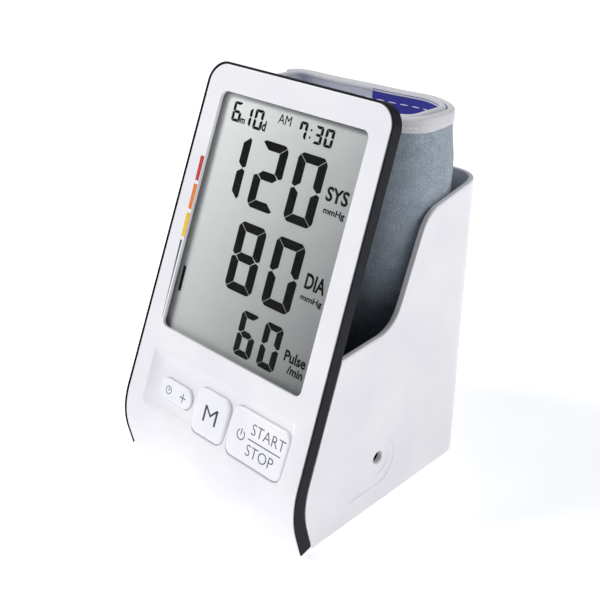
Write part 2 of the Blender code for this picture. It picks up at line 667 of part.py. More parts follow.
def electrical_parts(jack_finish, buzzer_finish):
    # The power jack with its centre pin behind the right wall, and the buzzer on the power board.
    mouth = (half_width(SOCKET_Z) - WALL - GAP, SOCKET_Y, SOCKET_Z)
    profile = ((0, 0.8), (0.9, 0.8), (0.9, 9.0), (2.75, 9.0), (2.75, 0), (4.4, 0), (4.4, 11.0), (0, 11.0))
    put_mesh("power_jack", turned(profile, mouth, (-1, 0, 0)), jack_finish, mouth, smooth=40)
    buzzer = ((0, 6.9), (6.0, 6.9), (6.0, 10.4), (1.2, 10.4), (1.2, 9.4), (0, 9.4))
    disc = turned(buzzer, (-38, -39, 0), (0, 0, 1), 24)
    put_mesh("buzzer", disc, buzzer_finish, smooth=40)


def cuff_loop(inset, z, sides=CUFF_SIDES):
    # A rounded oval, between an ellipse and a rectangle.
    loop = []
    for k in range(sides):
        turn = 2 * math.pi * k / sides
        c, s = math.cos(turn), math.sin(turn)
        x = (CUFF_HALF_WIDTH - inset) * math.copysign(abs(c) ** (2 / 3), c)
        y = (CUFF_HALF_DEPTH - inset) * math.copysign(abs(s) ** (2 / 3), s)
        loop.append((CUFF_X + x, CUFF_Y + y, z))
    return loop


def cuff_ring(name, section, finish):
    rings = [cuff_loop(inset, z) for inset, z in section]
    return put_mesh(name, loft(rings, closed=True), finish, (CUFF_X, CUFF_Y, CUFF_BOTTOM_Z), smooth=50)


def cuff(cover_finish, lining_finish, bladder_finish, binding_finish, inlet_finish, pad_finish):
    low, top = CUFF_BOTTOM_Z + 1.1, CUFF_TOP_Z - 1.1
    cuff_ring("cuff_cover", ((1.1, low), (1.1, top), (2.1, top), (2.1, low)), cover_finish)
    bladder = ((2.4, low + 9), (2.4, top - 9), (4.2, top - 9), (4.2, low + 9))
    cuff_ring("cuff_bladder", bladder, bladder_finish)
    cuff_ring("cuff_lining", ((4.5, low), (4.5, top), (5.5, top), (5.5, low)), lining_finish)
    for name, edge, inward in (("cuff_top_binding", CUFF_TOP_Z, -1),
                               ("cuff_bottom_binding", CUFF_BOTTOM_Z, 1)):
        leg = edge + inward * 7.3
        web = edge + inward * 0.8
        cuff_ring(name, ((0, leg), (0, web), (0.7, edge), (5.9, edge), (6.6, web), (6.6, leg), (5.8, leg),
                         (5.8, web), (0.8, web), (0.8, leg)), binding_finish)
    put_mesh("cuff_hook_pad", hook_pad(), pad_finish, smooth=50)
    flange = ((0, 0), (6.0, 0), (6.0, 0.8), (2.6, 1.4), (2.6, 6.0), (1.3, 6.0), (1.3, 1.0), (0, 1.0))
    place = (-20.0, INLET_Y, 141.0)
    put_mesh("cuff_air_inlet", turned(flange, place, (0, 1, 0), 24), inlet_finish, place, smooth=40)


def hook_pad():
    # A patch that hugs the left end of the roll.
    sections = []
    for z in (46.0, 136.0):
        outer, inner = cuff_loop(-0.8, z), cuff_loop(0.7, z)
        picked = range(17, 25)
        sections.append([outer[k] for k in picked] + [inner[k] for k in reversed(picked)])
    return loft(sections, caps="strip")


clear_scene()
white = material("gloss_white_plastic", (0.86, 0.855, 0.88), 0.28)
charcoal = material("charcoal_plastic", (0.035, 0.042, 0.055), 0.4)
key_white = material("key_plastic", (0.84, 0.84, 0.86), 0.35)
clear = material("clear_window", (0.9, 0.93, 0.92), 0.06, alpha=0.2)
lcd = material("display_glass", (0.55, 0.58, 0.56), 0.3)
natural = material("natural_plastic", (0.6, 0.6, 0.57), 0.5)
board = material("circuit_board", (0.02, 0.16, 0.07), 0.45)
black = material("black_plastic", (0.02, 0.02, 0.022), 0.45)
silicone = material("grey_silicone", (0.4, 0.41, 0.43), 0.6)
rubber = material("black_rubber", (0.03, 0.03, 0.03), 0.75)
steel = material("plated_steel", (0.6, 0.6, 0.6), 0.3, 1.0)
cell_wrap = material("cell_wrap", (0.1, 0.22, 0.45), 0.35)
foam = material("foam", (0.12, 0.12, 0.13), 0.9)
tubing = material("clear_tubing", (0.8, 0.82, 0.8), 0.2, alpha=0.6)
fabric = material("cuff_fabric", (0.25, 0.31, 0.38), 0.85)
lining = material("cuff_lining_fabric", (0.04, 0.04, 0.36), 0.75)
binding = material("cuff_binding", (0.62, 0.61, 0.6), 0.8)
bladder = material("bladder_film", (0.15, 0.15, 0.17), 0.5)
hook_tape = material("hook_tape", (0.12, 0.15, 0.2), 0.95)
ribbon = material("ribbon_film", (0.6, 0.35, 0.1), 0.35)

front_cover(white)
mid_frame(charcoal)
unit_back_cover(charcoal)
rear_body(white)
pocket_liner(charcoal)
base_cover(white)
battery_door(white)
battery_tray(black)
battery_cells(cell_wrap)
contact_springs(steel)
contact_plates(steel)
fasteners_and_feet(steel, rubber)
display_stack(clear, lcd, natural, silicone)
circuit_boards(board, black, ribbon)
keypad(key_white, silicone)
pump(steel, natural, steel, foam)
air_parts(black, steel, natural, tubing, natural)
electrical_parts(black, black)
cuff(fabric, lining, bladder, binding, silicone, hook_tape)
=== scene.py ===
import json
import math

import bmesh
import bpy
from mathutils import Matrix, Vector, noise


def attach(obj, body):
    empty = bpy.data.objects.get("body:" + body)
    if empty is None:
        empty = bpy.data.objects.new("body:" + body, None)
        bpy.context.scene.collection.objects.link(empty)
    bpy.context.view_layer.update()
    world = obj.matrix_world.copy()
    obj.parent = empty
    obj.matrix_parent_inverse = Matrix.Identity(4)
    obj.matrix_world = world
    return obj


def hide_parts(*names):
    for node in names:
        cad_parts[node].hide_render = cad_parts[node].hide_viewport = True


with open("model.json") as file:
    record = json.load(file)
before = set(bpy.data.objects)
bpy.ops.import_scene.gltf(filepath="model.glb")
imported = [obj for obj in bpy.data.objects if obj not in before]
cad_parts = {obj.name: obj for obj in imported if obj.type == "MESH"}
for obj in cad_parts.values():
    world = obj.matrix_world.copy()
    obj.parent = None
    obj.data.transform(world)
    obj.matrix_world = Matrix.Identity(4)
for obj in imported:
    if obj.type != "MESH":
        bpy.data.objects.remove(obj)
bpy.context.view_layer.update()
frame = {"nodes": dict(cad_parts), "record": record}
cadNodes = frame["nodes"]
millimetre = 0.001
print("frame loaded:", len(cadNodes), "nodes")

# Housing sizes in millimetres, as the frame has them. +Z is up and the display faces -Y.
shell = {"height": 169.4, "depth": 111.2, "baseHalf": 52.2, "draft": 0.0259,
         "lean": math.radians(19.54), "topY": -4.87, "corner": 9.5, "bellyTop": 33.0,
         "bellyRadius": 36.0, "tuck": math.radians(15.0), "floor": 1.8, "wall": 2.3,
         "gap": 0.3, "rearRadius": 12.5, "bandDepth": 5.4, "lip": 0.6, "coverThickness": 2.4,
         "socketY": -6.7, "socketZ": 24.3}


def shade(text, alpha=1.0):
    # A colour as it is picked on screen, as the scene-linear values a shader takes.
    parts = [int(text[k:k + 2], 16) / 255 for k in (0, 2, 4)]
    line = [p / 12.92 if p <= 0.04045 else ((p + 0.055) / 1.055) ** 2.4 for p in parts]
    return (*line, alpha)


class Link:
    # One output of a node; arithmetic on it adds Math nodes.
    def __init__(self, finish, socket):
        self.finish, self.socket = finish, socket

    def maths(self, operation, first, second=0.0):
        return self.finish.node("ShaderNodeMath", {"operation": operation}, {0: first, 1: second})

    def __add__(self, other):
        return self.maths("ADD", self, other)

    def __radd__(self, other):
        return self.maths("ADD", other, self)

    def __sub__(self, other):
        return self.maths("SUBTRACT", self, other)

    def __rsub__(self, other):
        return self.maths("SUBTRACT", other, self)

    def __mul__(self, other):
        return self.maths("MULTIPLY", self, other)

    def __rmul__(self, other):
        return self.maths("MULTIPLY", other, self)

    def __gt__(self, other):
        return self.maths("GREATER_THAN", self, other)

    def sine(self):
        return self.maths("SINE", self)


class Finish:
    # One material: a Principled shader, with whatever varies plugged into it.
    def __init__(self, name, colour="ffffff", roughness=0.5, **fixed):
        self.material = bpy.data.materials.new(name)
        self.material.use_nodes = True
        self.tree = self.material.node_tree
        self.shader = self.tree.nodes["Principled BSDF"]
        self.shader.inputs["Base Color"].default_value = shade(colour)
        self.shader.inputs["Roughness"].default_value = roughness
        for socket, value in fixed.items():
            self.shader.inputs[socket].default_value = value

    def node(self, kind, settings=None, inputs=None, output=0):
        made = self.tree.nodes.new(kind)
        for key, value in (settings or {}).items():
            if key == "stops":
                ramp = made.color_ramp.elements
                while len(ramp) < len(value):
                    ramp.new(0.5)
                for stop, (place, colour) in zip(ramp, value):
                    stop.position = place
                    stop.color = colour
            else:
                setattr(made, key, value)
        for key, value in (inputs or {}).items():
            self.plug(made.inputs[key], value)
        return Link(self, made.outputs[output])

    def plug(self, socket, value):
        if isinstance(value, Link):
            self.tree.links.new(value.socket, socket)
        else:
            socket.default_value = value

    def feed(self, **values):
        for name, value in values.items():
            self.plug(self.shader.inputs[name.replace("_", " ")], value)
        return self.material

    def place(self, output="Object"):
        return self.node("ShaderNodeTexCoord", output=output)

    def clouds(self, size, detail=3.0, where=None, stretch=None, rough=0.5):
        # Noise from 0 to 1 whose blotches are about size metres wide.
        where = where or self.place()
        if stretch:
            where = self.node("ShaderNodeMapping", inputs={"Vector": where, "Scale": stretch})
        inputs = {"Vector": where, "Scale": 1 / size, "Detail": detail, "Roughness": rough}
        return self.node("ShaderNodeTexNoise", inputs=inputs)

    def mixed(self, factor, first, second):
        return self.node("ShaderNodeMix", {"data_type": "RGBA"},
                         {0: factor, 6: first, 7: second}, output=2)

    def between(self, value, low, high, first=0.0, second=1.0):
        return self.node("ShaderNodeMapRange", inputs={0: value, 1: low, 2: high, 3: first, 4: second})

    def bump(self, height, distance, strength):
        inputs = {"Height": height, "Distance": distance, "Strength": strength}
        return self.node("ShaderNodeBump", inputs=inputs)

    def axes(self, where):
        parts = self.node("ShaderNodeSeparateXYZ", inputs={0: where})
        return [Link(self, parts.socket.node.outputs[k]) for k in range(3)]


finishes = {}


def moulded(name, light, dark, roughness, grain=0.0006, depth=0.000012, **fixed):
    # Moulded plastic: fine spark grain, a slow drift of tone, and slightly uneven gloss.
    finish = Finish(name, light, roughness, **fixed)
    tone = finish.between(finish.clouds(0.03, 2), 0.35, 0.65)
    fine = finish.clouds(grain, 2)
    gloss = finish.clouds(0.012, 4) * 0.1 + (roughness - 0.05)
    finish.feed(Base_Color=finish.mixed(tone, shade(light), shade(dark)), Roughness=gloss,
                Normal=finish.bump(fine, depth, 0.6))
    finishes[name] = finish.material
    return finish.material


def plainMetal(name, light, dark, roughness, stretch=(1, 1, 1)):
    finish = Finish(name, light, roughness, Metallic=1.0)
    brushed = finish.clouds(0.0006, 3, stretch=stretch)
    finish.feed(Base_Color=finish.mixed(brushed, shade(light), shade(dark)),
                Roughness=brushed * 0.2 + (roughness - 0.1), Normal=finish.bump(brushed, 0.00001, 0.4))
    finishes[name] = finish.material
    return finish.material


def clothFinish(name, light, dark, speck, threads=0.00075, share=0.62, sheen=0.35, depth=0.00012):
    # Plain weave on the piece's own UV map, which is in metres, with a scatter of pale fibres.
    finish = Finish(name, light, 0.9)
    finish.shader.inputs["Sheen Weight"].default_value = sheen
    finish.shader.inputs["Sheen Roughness"].default_value = 0.4
    flat = finish.place("UV")
    along, up, through = finish.axes(flat)
    turn = 2 * math.pi / threads
    warp = (along * turn).sine()
    weft = (up * turn).sine()
    weave = warp * 0.18 + warp * weft * 0.3 + 0.5
    blot = finish.clouds(0.004, 4, where=flat)
    fibres = finish.clouds(0.0009, 2, where=flat, rough=0.8)
    slub = finish.clouds(0.0011, 2, where=flat, stretch=(1.7, 0.22, 1), rough=0.7)
    tone = finish.between(blot * 0.3 + weave * 0.25 + slub * 0.25 + fibres * 0.35, 0.3, 0.85)
    base = finish.mixed(tone, shade(dark), shade(light))
    flecks = finish.between(fibres, share, share + 0.09)
    finish.feed(Base_Color=finish.mixed(flecks * 0.6, base, shade(speck)), Roughness=blot * 0.1 + 0.84,
                Normal=finish.bump(weave * 0.7 + fibres * 0.6, depth, 0.8))
    finishes[name] = finish.material
    return finish.material


def putMesh(name, bm, finish, body, stands=(), smooth=35, recalc=True, weighted=True):
    # The bmesh comes in millimetres in the row frame; the object stays at the origin.
    if recalc:
        bmesh.ops.recalc_face_normals(bm, faces=bm.faces)
    bmesh.ops.transform(bm, matrix=Matrix.Scale(millimetre, 4), verts=bm.verts)
    mesh = bpy.data.meshes.new(name)
    bm.to_mesh(mesh)
    bm.free()
    made = bpy.data.objects.new(name, mesh)
    bpy.context.scene.collection.objects.link(made)
    for material in finish if isinstance(finish, (list, tuple)) else [finish]:
        mesh.materials.append(material)
    settle(made, smooth, weighted)
    if body:
        register(made, body, stands)
    return made


def register(made, body, stands=()):
    if stands:
        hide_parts(*stands)
    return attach(made, body)


def settle(made, smooth=35, weighted=True):
    if smooth is None:
        return
    made.data.shade_smooth()
    made.data.set_sharp_from_angle(angle=math.radians(smooth))
    if weighted:
        weigh = made.modifiers.new("evenShading", "WEIGHTED_NORMAL")
        weigh.keep_sharp = True
        bake(made)


def bake(made):
    # Modifiers go into a plain mesh.
    bpy.context.view_layer.update()
    graph = bpy.context.evaluated_depsgraph_get()
    plain = bpy.data.meshes.new_from_object(made.evaluated_get(graph))
    made.modifiers.clear()
    old = made.data
    made.data = plain
    plain.name = made.name
    bpy.data.meshes.remove(old)
    return made


def loft(sections, caps="flat"):
    # Skins equal loops of points; strip caps pair each loop's first half with its second half.
    bm = bmesh.new()
    rows = [[bm.verts.new(point) for point in section] for section in sections]
    count = len(sections[0])
    for near, far in zip(rows, rows[1:]):
        for k in range(count):
            after = (k + 1) % count
            bm.faces.new((near[k], near[after], far[after], far[k]))
    for end in (rows[0], rows[-1]):
        if caps == "flat":
            bm.faces.new(end)
            continue
        for k in range(count // 2 - 1):
            bm.faces.new((end[k], end[k + 1], end[count - 2 - k], end[count - 1 - k]))
    return bm


def turned(profile, origin, axis, sides=48):
    # Turns (radius, height) pairs about an axis; the first and last radius are 0.
    toward = Vector(axis).normalized()
    across = toward.orthogonal().normalized()
    beside = toward.cross(across)
    bm = bmesh.new()
    rings = []
    for radius, height in profile:
        centre = Vector(origin) + toward * height
        if radius == 0:
            rings.append([bm.verts.new(centre)] * sides)
            continue
        turns = [2 * math.pi * k / sides for k in range(sides)]
        rings.append([bm.verts.new(centre + (across * math.cos(t) + beside * math.sin(t)) * radius)
                      for t in turns])
    for near, far in zip(rings, rings[1:]):
        for k in range(sides):
            after = (k + 1) % sides
            corners = []
            for vert in (near[k], near[after], far[after], far[k]):
                if vert not in corners:
                    corners.append(vert)
            bm.faces.new(corners)
    return bm


def carve(made, cutters, smooth=35):
    # Cuts closed shapes out of a piece and leaves a plain mesh.
    helpers = []
    for k, bm in enumerate(cutters):
        cutter = putMesh("cutter%d" % k, bm, made.data.materials[0], None, smooth=None)
        cutting = made.modifiers.new("cut%d" % k, "BOOLEAN")
        cutting.operation, cutting.solver, cutting.object = "DIFFERENCE", "EXACT", cutter
        helpers.append(cutter)
    bake(made)
    for helper in helpers:
        bpy.data.objects.remove(helper)
    settle(made, smooth)
    return made


def span(first, last, steps):
    return [first + (last - first) * k / steps for k in range(steps + 1)]


def ease(value, low=0.0, high=1.0):
    share = min(max((value - low) / (high - low), 0.0), 1.0)
    return share * share * (3 - 2 * share)


def roundedRect(left, right, top, bottom, radius, steps=8):
    points = []
    corners = ((right - radius, top + radius, -90), (right - radius, bottom - radius, 0),
               (left + radius, bottom - radius, 90), (left + radius, top + radius, 180))
    for cx, cy, start in corners:
        for turn in span(math.radians(start), math.radians(start + 90), steps):
            points.append((cx + radius * math.cos(turn), cy + radius * math.sin(turn)))
    return points


def grown(rect, amount):
    return (rect[0] - amount, rect[1] + amount, rect[2] - amount, rect[3] + amount)


def tubeAlong(route, radius, sides=8):
    # A closed tube along a list of points, with pinched round ends.
    bm = bmesh.new()
    rings = []
    last = len(route) - 1
    for k, point in enumerate(route):
        ahead = (route[min(k + 1, last)] - route[max(k - 1, 0)]).normalized()
        across = ahead.cross(Vector((0.13, 0.21, 1))).normalized()
        beside = ahead.cross(across)
        end = min(k, last - k)
        size = radius * (0.35, 0.75)[end] if end < 2 else radius
        rings.append([bm.verts.new(point + (across * math.cos(t) + beside * math.sin(t)) * size)
                      for t in [2 * math.pi * j / sides for j in range(sides)]])
    for near, far in zip(rings, rings[1:]):
        for j in range(sides):
            bm.faces.new((near[j], near[(j + 1) % sides], far[(j + 1) % sides], far[j]))
    bm.faces.new(rings[0])
    bm.faces.new(rings[-1])
    return bm


# Face coordinates are u across, s down from the top edge and d inwards from the surface.
def halfWidth(z):
    return shell["baseHalf"] - shell["draft"] * z


def faceFlat(u, s, d):
    lean = shell["lean"]
    return Vector((u, shell["topY"] - s * math.sin(lean) + d * math.cos(lean),
                   shell["height"] - s * math.cos(lean) - d * math.sin(lean)))


bellyStart = (shell["height"] - shell["bellyTop"]) / math.cos(shell["lean"])
bellyEnd = bellyStart + shell["bellyRadius"] * (shell["lean"] + shell["tuck"])
bellyCentre = faceFlat(0, bellyStart, shell["bellyRadius"])


def facePoint(u, s, d):
    if s <= bellyStart:
        return faceFlat(u, s, d)
    turn = shell["lean"] - (min(s, bellyEnd) - bellyStart) / shell["bellyRadius"]
    run = max(s - bellyEnd, 0.0)
    reach = shell["bellyRadius"] - d
    return Vector((u, bellyCentre.y - reach * math.cos(turn) - run * math.sin(turn),
                   bellyCentre.z + reach * math.sin(turn) - run * math.cos(turn)))


baseS = bellyEnd + (facePoint(0, bellyEnd, 0).z - shell["floor"]) / math.cos(shell["tuck"])


def frontY(z, d):
    reach = shell["bellyRadius"] - d
    rise = z - bellyCentre.z
    if rise > reach * math.sin(shell["lean"]):
        return shell["topY"] - (shell["height"] - z) * math.tan(shell["lean"]) + d / math.cos(shell["lean"])
    if rise > -reach * math.sin(shell["tuck"]):
        return bellyCentre.y - math.sqrt(reach ** 2 - rise ** 2)
    fall = -rise - reach * math.sin(shell["tuck"])
    return bellyCentre.y - reach * math.cos(shell["tuck"]) + fall * math.tan(shell["tuck"])


def edgeStations():
    # Up the left edge, round the top and down the right edge.
    corner = shell["corner"]
    sides = span(corner, bellyStart, 14)[1:]
    sides += span(bellyStart, bellyEnd, 26)[1:] + span(bellyEnd, baseS, 3)[1:]
    stations = [(-1, s, None) for s in reversed(sides)]
    stations += [(-1, corner, math.radians(turn)) for turn in range(180, 89, -5)]
    stations += [(1, corner, math.radians(turn)) for turn in range(90, -1, -5)]
    return stations + [(1, s, None) for s in sides]


def edgePoint(station, inset, d):
    side, s, turn = station
    half = halfWidth(facePoint(0, s, 0).z)
    if turn is None:
        return facePoint(side * (half - inset), s, d)
    radius = shell["corner"] - inset
    return facePoint(side * (half - shell["corner"]) + radius * math.cos(turn),
                     shell["corner"] - radius * math.sin(turn), d)


def faceLoft(loops):
    # Each loop is (outline, d) on the flat face.
    return loft([[faceFlat(u, s, d) for u, s in outline] for outline, d in loops])


moulded("housing_white", "edecef", "e6e5e9", 0.36, **{"Coat Weight": 0.12, "Coat Roughness": 0.2})
dull = {"Specular IOR Level": 0.12}
moulded("band_charcoal", "12161f", "0b0d13", 0.42, grain=0.0005, depth=0.00002, **dull)
# The pocket liner's near-black is painted shade: a dark sheet set where the well is only in shadow.
moulded("liner_charcoal", "1d2024", "121417", 0.55, grain=0.0008, depth=0.00003)
moulded("key_white", "f3f2f5", "ebeaf0", 0.42)
moulded("inner_natural", "e3dfd2", "d3cfc2", 0.5)
moulded("inner_black", "16171a", "0c0d0f", 0.45)
moulded("silicone_grey", "8b8f94", "777b80", 0.7)
moulded("foam_dark", "2b2c2e", "161718", 0.95, grain=0.0012, depth=0.0002)
moulded("foot_rubber", "2f3133", "222425", 0.8, grain=0.0007, depth=0.00006)
moulded("inlet_grey", "9aa0a8", "868c94", 0.45)
moulded("bladder_film", "a9bac4", "94a6b2", 0.35)
moulded("print_red", "cf2f34", "b9262c", 0.5)
moulded("print_orange", "e8862a", "dd7620", 0.5)
moulded("print_yellow", "f0c52f", "e6b726", 0.5)
moulded("print_slate", "4a505a", "3b414b", 0.5)
moulded("ink_black", "0e1012", "060708", 0.45, **dull)
plainMetal("plated_steel", "c9ccd0", "a5a9af", 0.3, stretch=(1, 1, 6))
clothFinish("cuff_fabric", "b3bdc8", "67737f", "d6dce3", threads=0.0007, share=0.6)
clothFinish("lining_blue", "4446b4", "2d2f92", "7a7cd6", threads=0.0009, share=0.66, sheen=0.2)
# A pale copy of the lining cloth: a painted highlight on part of the blue lining.
clothFinish("lining_pale", "dcdfea", "c2c6d4", "f0f1f6", threads=0.0009, share=0.62)
clothFinish("binding_pale", "dfdee1", "c9c8cc", "f4f3f4", threads=0.0006, share=0.64, sheen=0.3)
clothFinish("hook_tape", "6b7683", "3f4853", "98a2ad", threads=0.0013, share=0.5, depth=0.0004)
moulded("thread_white", "f4f4f6", "e2e2e8", 0.7, grain=0.0003, depth=0.00005)


def clearPane():
    # A thin clear sheet: mostly see-through, with a faint film of dust in patches.
    finish = Finish("window_clear", "1c1e20", 0.06, IOR=1.45)
    dust = finish.clouds(0.006, 5)
    alpha = finish.between(dust, 0.4, 0.8, 0.03, 0.045)
    finish.feed(Alpha=alpha, Roughness=finish.between(dust, 0.3, 0.8, 0.04, 0.1))
    finishes["window_clear"] = finish.material


def displayGlass():
    # Reflective display backing with a painted highlight towards its upper left that fades to painted shade
    # at its lower right, and a fine dot grain.
    finish = Finish("lcd_grey", "c9cecb", 0.42)
    across, deep, height = finish.axes(finish.place())
    # Painted shadow that the window's upper and left edges cast on the glass.
    lip = finish.between(height, 0.1556, 0.1587) * 0.55 + finish.between(across, -0.0352, -0.0383) * 0.3
    # Painted light across the glass: lighter towards the upper left, darker towards the lower right, less
    # the painted edge shadow.
    fall = height * 3.46 - across * 5.57 + 0.17 - lip
    grain = finish.clouds(0.0004, 2)
    tone = finish.mixed(fall, shade("15181c"), shade("fafdfa"))
    finish.feed(Base_Color=finish.mixed(grain * 0.08, tone, shade("b4bab8")),
                Roughness=finish.clouds(0.01, 3) * 0.1 + 0.35,
                Normal=finish.bump(grain, 0.00001, 0.3))
    finishes["lcd_grey"] = finish.material


def boardFinish(name, light, dark):
    # Solder mask with a grid of tracks under it.
    finish = Finish(name, light, 0.35)
    across, deep, height = finish.axes(finish.place())
    tracks = (across * 2200.0).sine() > 0.82
    rows = (height * 1700.0).sine() > 0.86
    patch = finish.clouds(0.008, 1) > 0.5
    mask = tracks * patch + rows * (1 - patch)
    finish.feed(Base_Color=finish.mixed(mask, shade(dark), shade(light)),
                Roughness=finish.clouds(0.005, 2) * 0.2 + 0.25, Normal=finish.bump(mask, 0.00004, 0.5))
    finishes[name] = finish.material


def cellFinish():
    # A battery's wrap: a gold band between dark ends.
    finish = Finish("cell_wrap", "2f5c46", 0.35, Metallic=0.1)
    where = finish.node("ShaderNodeSeparateXYZ", inputs={0: finish.place()})
    ends = finish.node("ShaderNodeValToRGB", {"stops": [(0.0, shade("26282b")), (0.3, shade("2b2e32")),
                                                        (0.31, shade("b99a54")), (0.72, shade("b99a54")),
                                                        (0.73, shade("26282b"))]},
                       {0: finish.between(where, -0.026, 0.026)})
    finish.feed(Base_Color=finish.mixed(finish.clouds(0.004, 3) * 0.2, ends, shade("8f8a7c")),
                Roughness=finish.clouds(0.003, 3) * 0.2 + 0.25)
    finishes["cell_wrap"] = finish.material


def clearTube():
    finish = Finish("tubing_clear", "e9edf0", 0.25)
    mist = finish.clouds(0.003, 3)
    finish.feed(Alpha=finish.between(mist, 0.3, 0.7, 0.5, 0.7), Roughness=mist * 0.1 + 0.2)
    finishes["tubing_clear"] = finish.material


clearPane()
displayGlass()
boardFinish("board_green", "2f7a4c", "1d5a36")
boardFinish("ribbon_amber", "c98a3a", "a8702b")
cellFinish()
clearTube()

for row in frame["record"]["subparts"]:
    for slot in cadNodes[row["node"]].material_slots:
        slot.material = finishes[row["material_slot"]]
print("finishes made:", len(finishes))


def makeStage():
    view = {"place": (0.23937, -0.26189, 0.25459), "azimuth": 42.548, "elevation": 24.475,
            "roll": 1.895, "lens": 56.52, "shiftY": -0.0667}
    turn, rise, roll = (math.radians(view[key]) for key in ("azimuth", "elevation", "roll"))
    back = Vector((math.sin(turn) * math.cos(rise), -math.cos(turn) * math.cos(rise), math.sin(rise)))
    right = (-back).cross(Vector((0, 0, 1))).normalized()
    up = right.cross(-back)
    tilted = right * math.cos(roll) + up * math.sin(roll)
    upright = up * math.cos(roll) - right * math.sin(roll)
    lens = bpy.data.cameras.new("camera")
    lens.lens, lens.sensor_width, lens.shift_y = view["lens"], 36.0, view["shiftY"]
    lens.clip_start = 0.01
    camera = bpy.data.objects.new("camera", lens)
    camera.matrix_world = Matrix((tilted, upright, back)).transposed().to_4x4()
    camera.location = view["place"]
    bpy.context.scene.collection.objects.link(camera)
    bpy.context.scene.camera = camera

    lamps = {"key": ((-1.3, -1.2, 1.7), 1.0, 41.0), "side": ((2.1, -0.5, 0.9), 1.2, 5.0),
             "back": ((1.3, 1.5, 1.5), 1.0, 21.0)}
    for name, (place, size, power) in lamps.items():
        light = bpy.data.lights.new(name, "AREA")
        light.shape, light.size, light.energy = "DISK", size, power
        lamp = bpy.data.objects.new(name, light)
        lamp.location = place
        lamp.rotation_euler = (Vector((0, 0, 0.07)) - Vector(place)).to_track_quat("-Z", "Y").to_euler()
        bpy.context.scene.collection.objects.link(lamp)
    world = bpy.data.worlds.new("studio")
    world.use_nodes = True
    sky = world.node_tree.nodes["Background"].inputs
    sky["Color"].default_value = shade("e6ecf6")
    sky["Strength"].default_value = 0.22
    bpy.context.scene.world = world
    bpy.context.scene.view_settings.view_transform = "Standard"

    bm = bmesh.new()
    bmesh.ops.create_grid(bm, x_segments=1, y_segments=1, size=14000)
    glow = {"Emission Color": shade("ffffff"), "Emission Strength": 0.47}
    pale = moulded("floor_pale", "fbfbfc", "f7f7f9", 0.8, grain=0.002, **glow)
    floor = putMesh("floor", bm, pale, None, smooth=None, recalc=False)


makeStage()
print("camera and lights ready")


def frontCover():
    cover = {"inset": shell["lip"] + shell["gap"], "edge": 0.45, "windowMouth": 0.35,
             "window": (11.4, 112.8, 38.4, 39.9), "windowCorner": 3.0}
    edge, inset, thickness = cover["edge"], cover["inset"], shell["coverThickness"]
    profile = [(0, thickness), (0, edge)]
    profile += [(edge * (1 - math.cos(t)), edge * (1 - math.sin(t))) for t in span(0, math.pi / 2, 5)[1:]]
    stations = edgeStations()
    loops = [[edgePoint(station, inset + i, d) for station in stations] for i, d in profile]
    made = putMesh("frontCoverShell", loft(loops, caps="strip"), finishes["housing_white"], None,
                   smooth=None)

    # The window widens a little towards the keys, as the housing does.
    top, bottom, halfTop, halfBottom = cover["window"]

    def windowLoop(out, d):
        points = []
        for u, s in roundedRect(-40 - out, 40 + out, top - out, bottom + out, cover["windowCorner"] + out):
            share = (s - top) / (bottom - top)
            points.append((u * (halfTop + (halfBottom - halfTop) * share) / 40, s))
        return points, d

    mouth = cover["windowMouth"]
    loops = [windowLoop(mouth, -3)]
    loops += [windowLoop(mouth * (1 - math.sin(t)), mouth * (1 - math.cos(t)) - 0.01)
              for t in span(0, math.pi / 2, 5)]
    cutters = [faceLoft(loops + [windowLoop(0, 4)])]
    cutters.append(faceLoft([(roundedRect(-41.6, 41.6, 9.0, 115.6, 4.0), d) for d in (1.35, 6)]))
    cutters.append(trayCutter())
    clear = keys["clearance"]
    for rect, radius in ((keys["rocker"], 4.4), (keys["memory"], 4.35), (keys["start"], 4.35)):
        cutters.append(faceLoft([(roundedRect(*grown(rect, clear), radius), d) for d in (-3, 6)]))
    carve(made, cutters, smooth=30)
    register(made, "housing", ["front_cover"])


keys = {"rocker": (-32.3, -13.2, 132.7, 141.7), "memory": (-10.8, 8.4, 128.2, 147.6),
        "start": (10.0, 41.0, 127.2, 147.8), "clearance": 0.22, "topDepth": 0.5,
        "tray": (-41.0, 42.0, 121.8, 149.6), "trayDepthTop": 2.1, "trayDepthBottom": 1.1}


def trayCutter():
    # The key tray is a scoop: steep at its top and left edges, shallow at its lower edge.
    left, right, top, bottom = keys["tray"]

    def cove(distance, width):
        share = min(max(distance / width, 0.0), 1.0)
        return 1 - (1 - share) ** 2

    def depth(u, s):
        fall = ease(s, top + 4, bottom)
        deep = keys["trayDepthTop"] * (1 - fall) + keys["trayDepthBottom"] * fall
        sides = deep * cove(u - left, 7.5) * cove(right - u, 3.0)
        return sides * cove(s - top, 5.5) * ease(bottom - s, 0, 4.0) - 0.03

    columns, rows = span(left, right, 110), span(top, bottom, 48)
    bm = bmesh.new()
    low = [[bm.verts.new(faceFlat(u, s, depth(u, s))) for u in columns] for s in rows]
    high = [[bm.verts.new(faceFlat(u, s, -3)) for u in (left, right)] for s in (top, bottom)]
    for a, b in zip(low, low[1:]):
        for k in range(len(columns) - 1):
            bm.faces.new((a[k], a[k + 1], b[k + 1], b[k]))
    bm.faces.new((high[0][0], high[0][1], high[1][1], high[1][0]))
    bm.faces.new(low[0] + [high[0][1], high[0][0]])
    bm.faces.new(low[-1] + [high[1][1], high[1][0]])
    bm.faces.new([row[0] for row in low] + [high[1][0], high[0][0]])
    bm.faces.new([row[-1] for row in low] + [high[1][1], high[0][1]])
    return bm


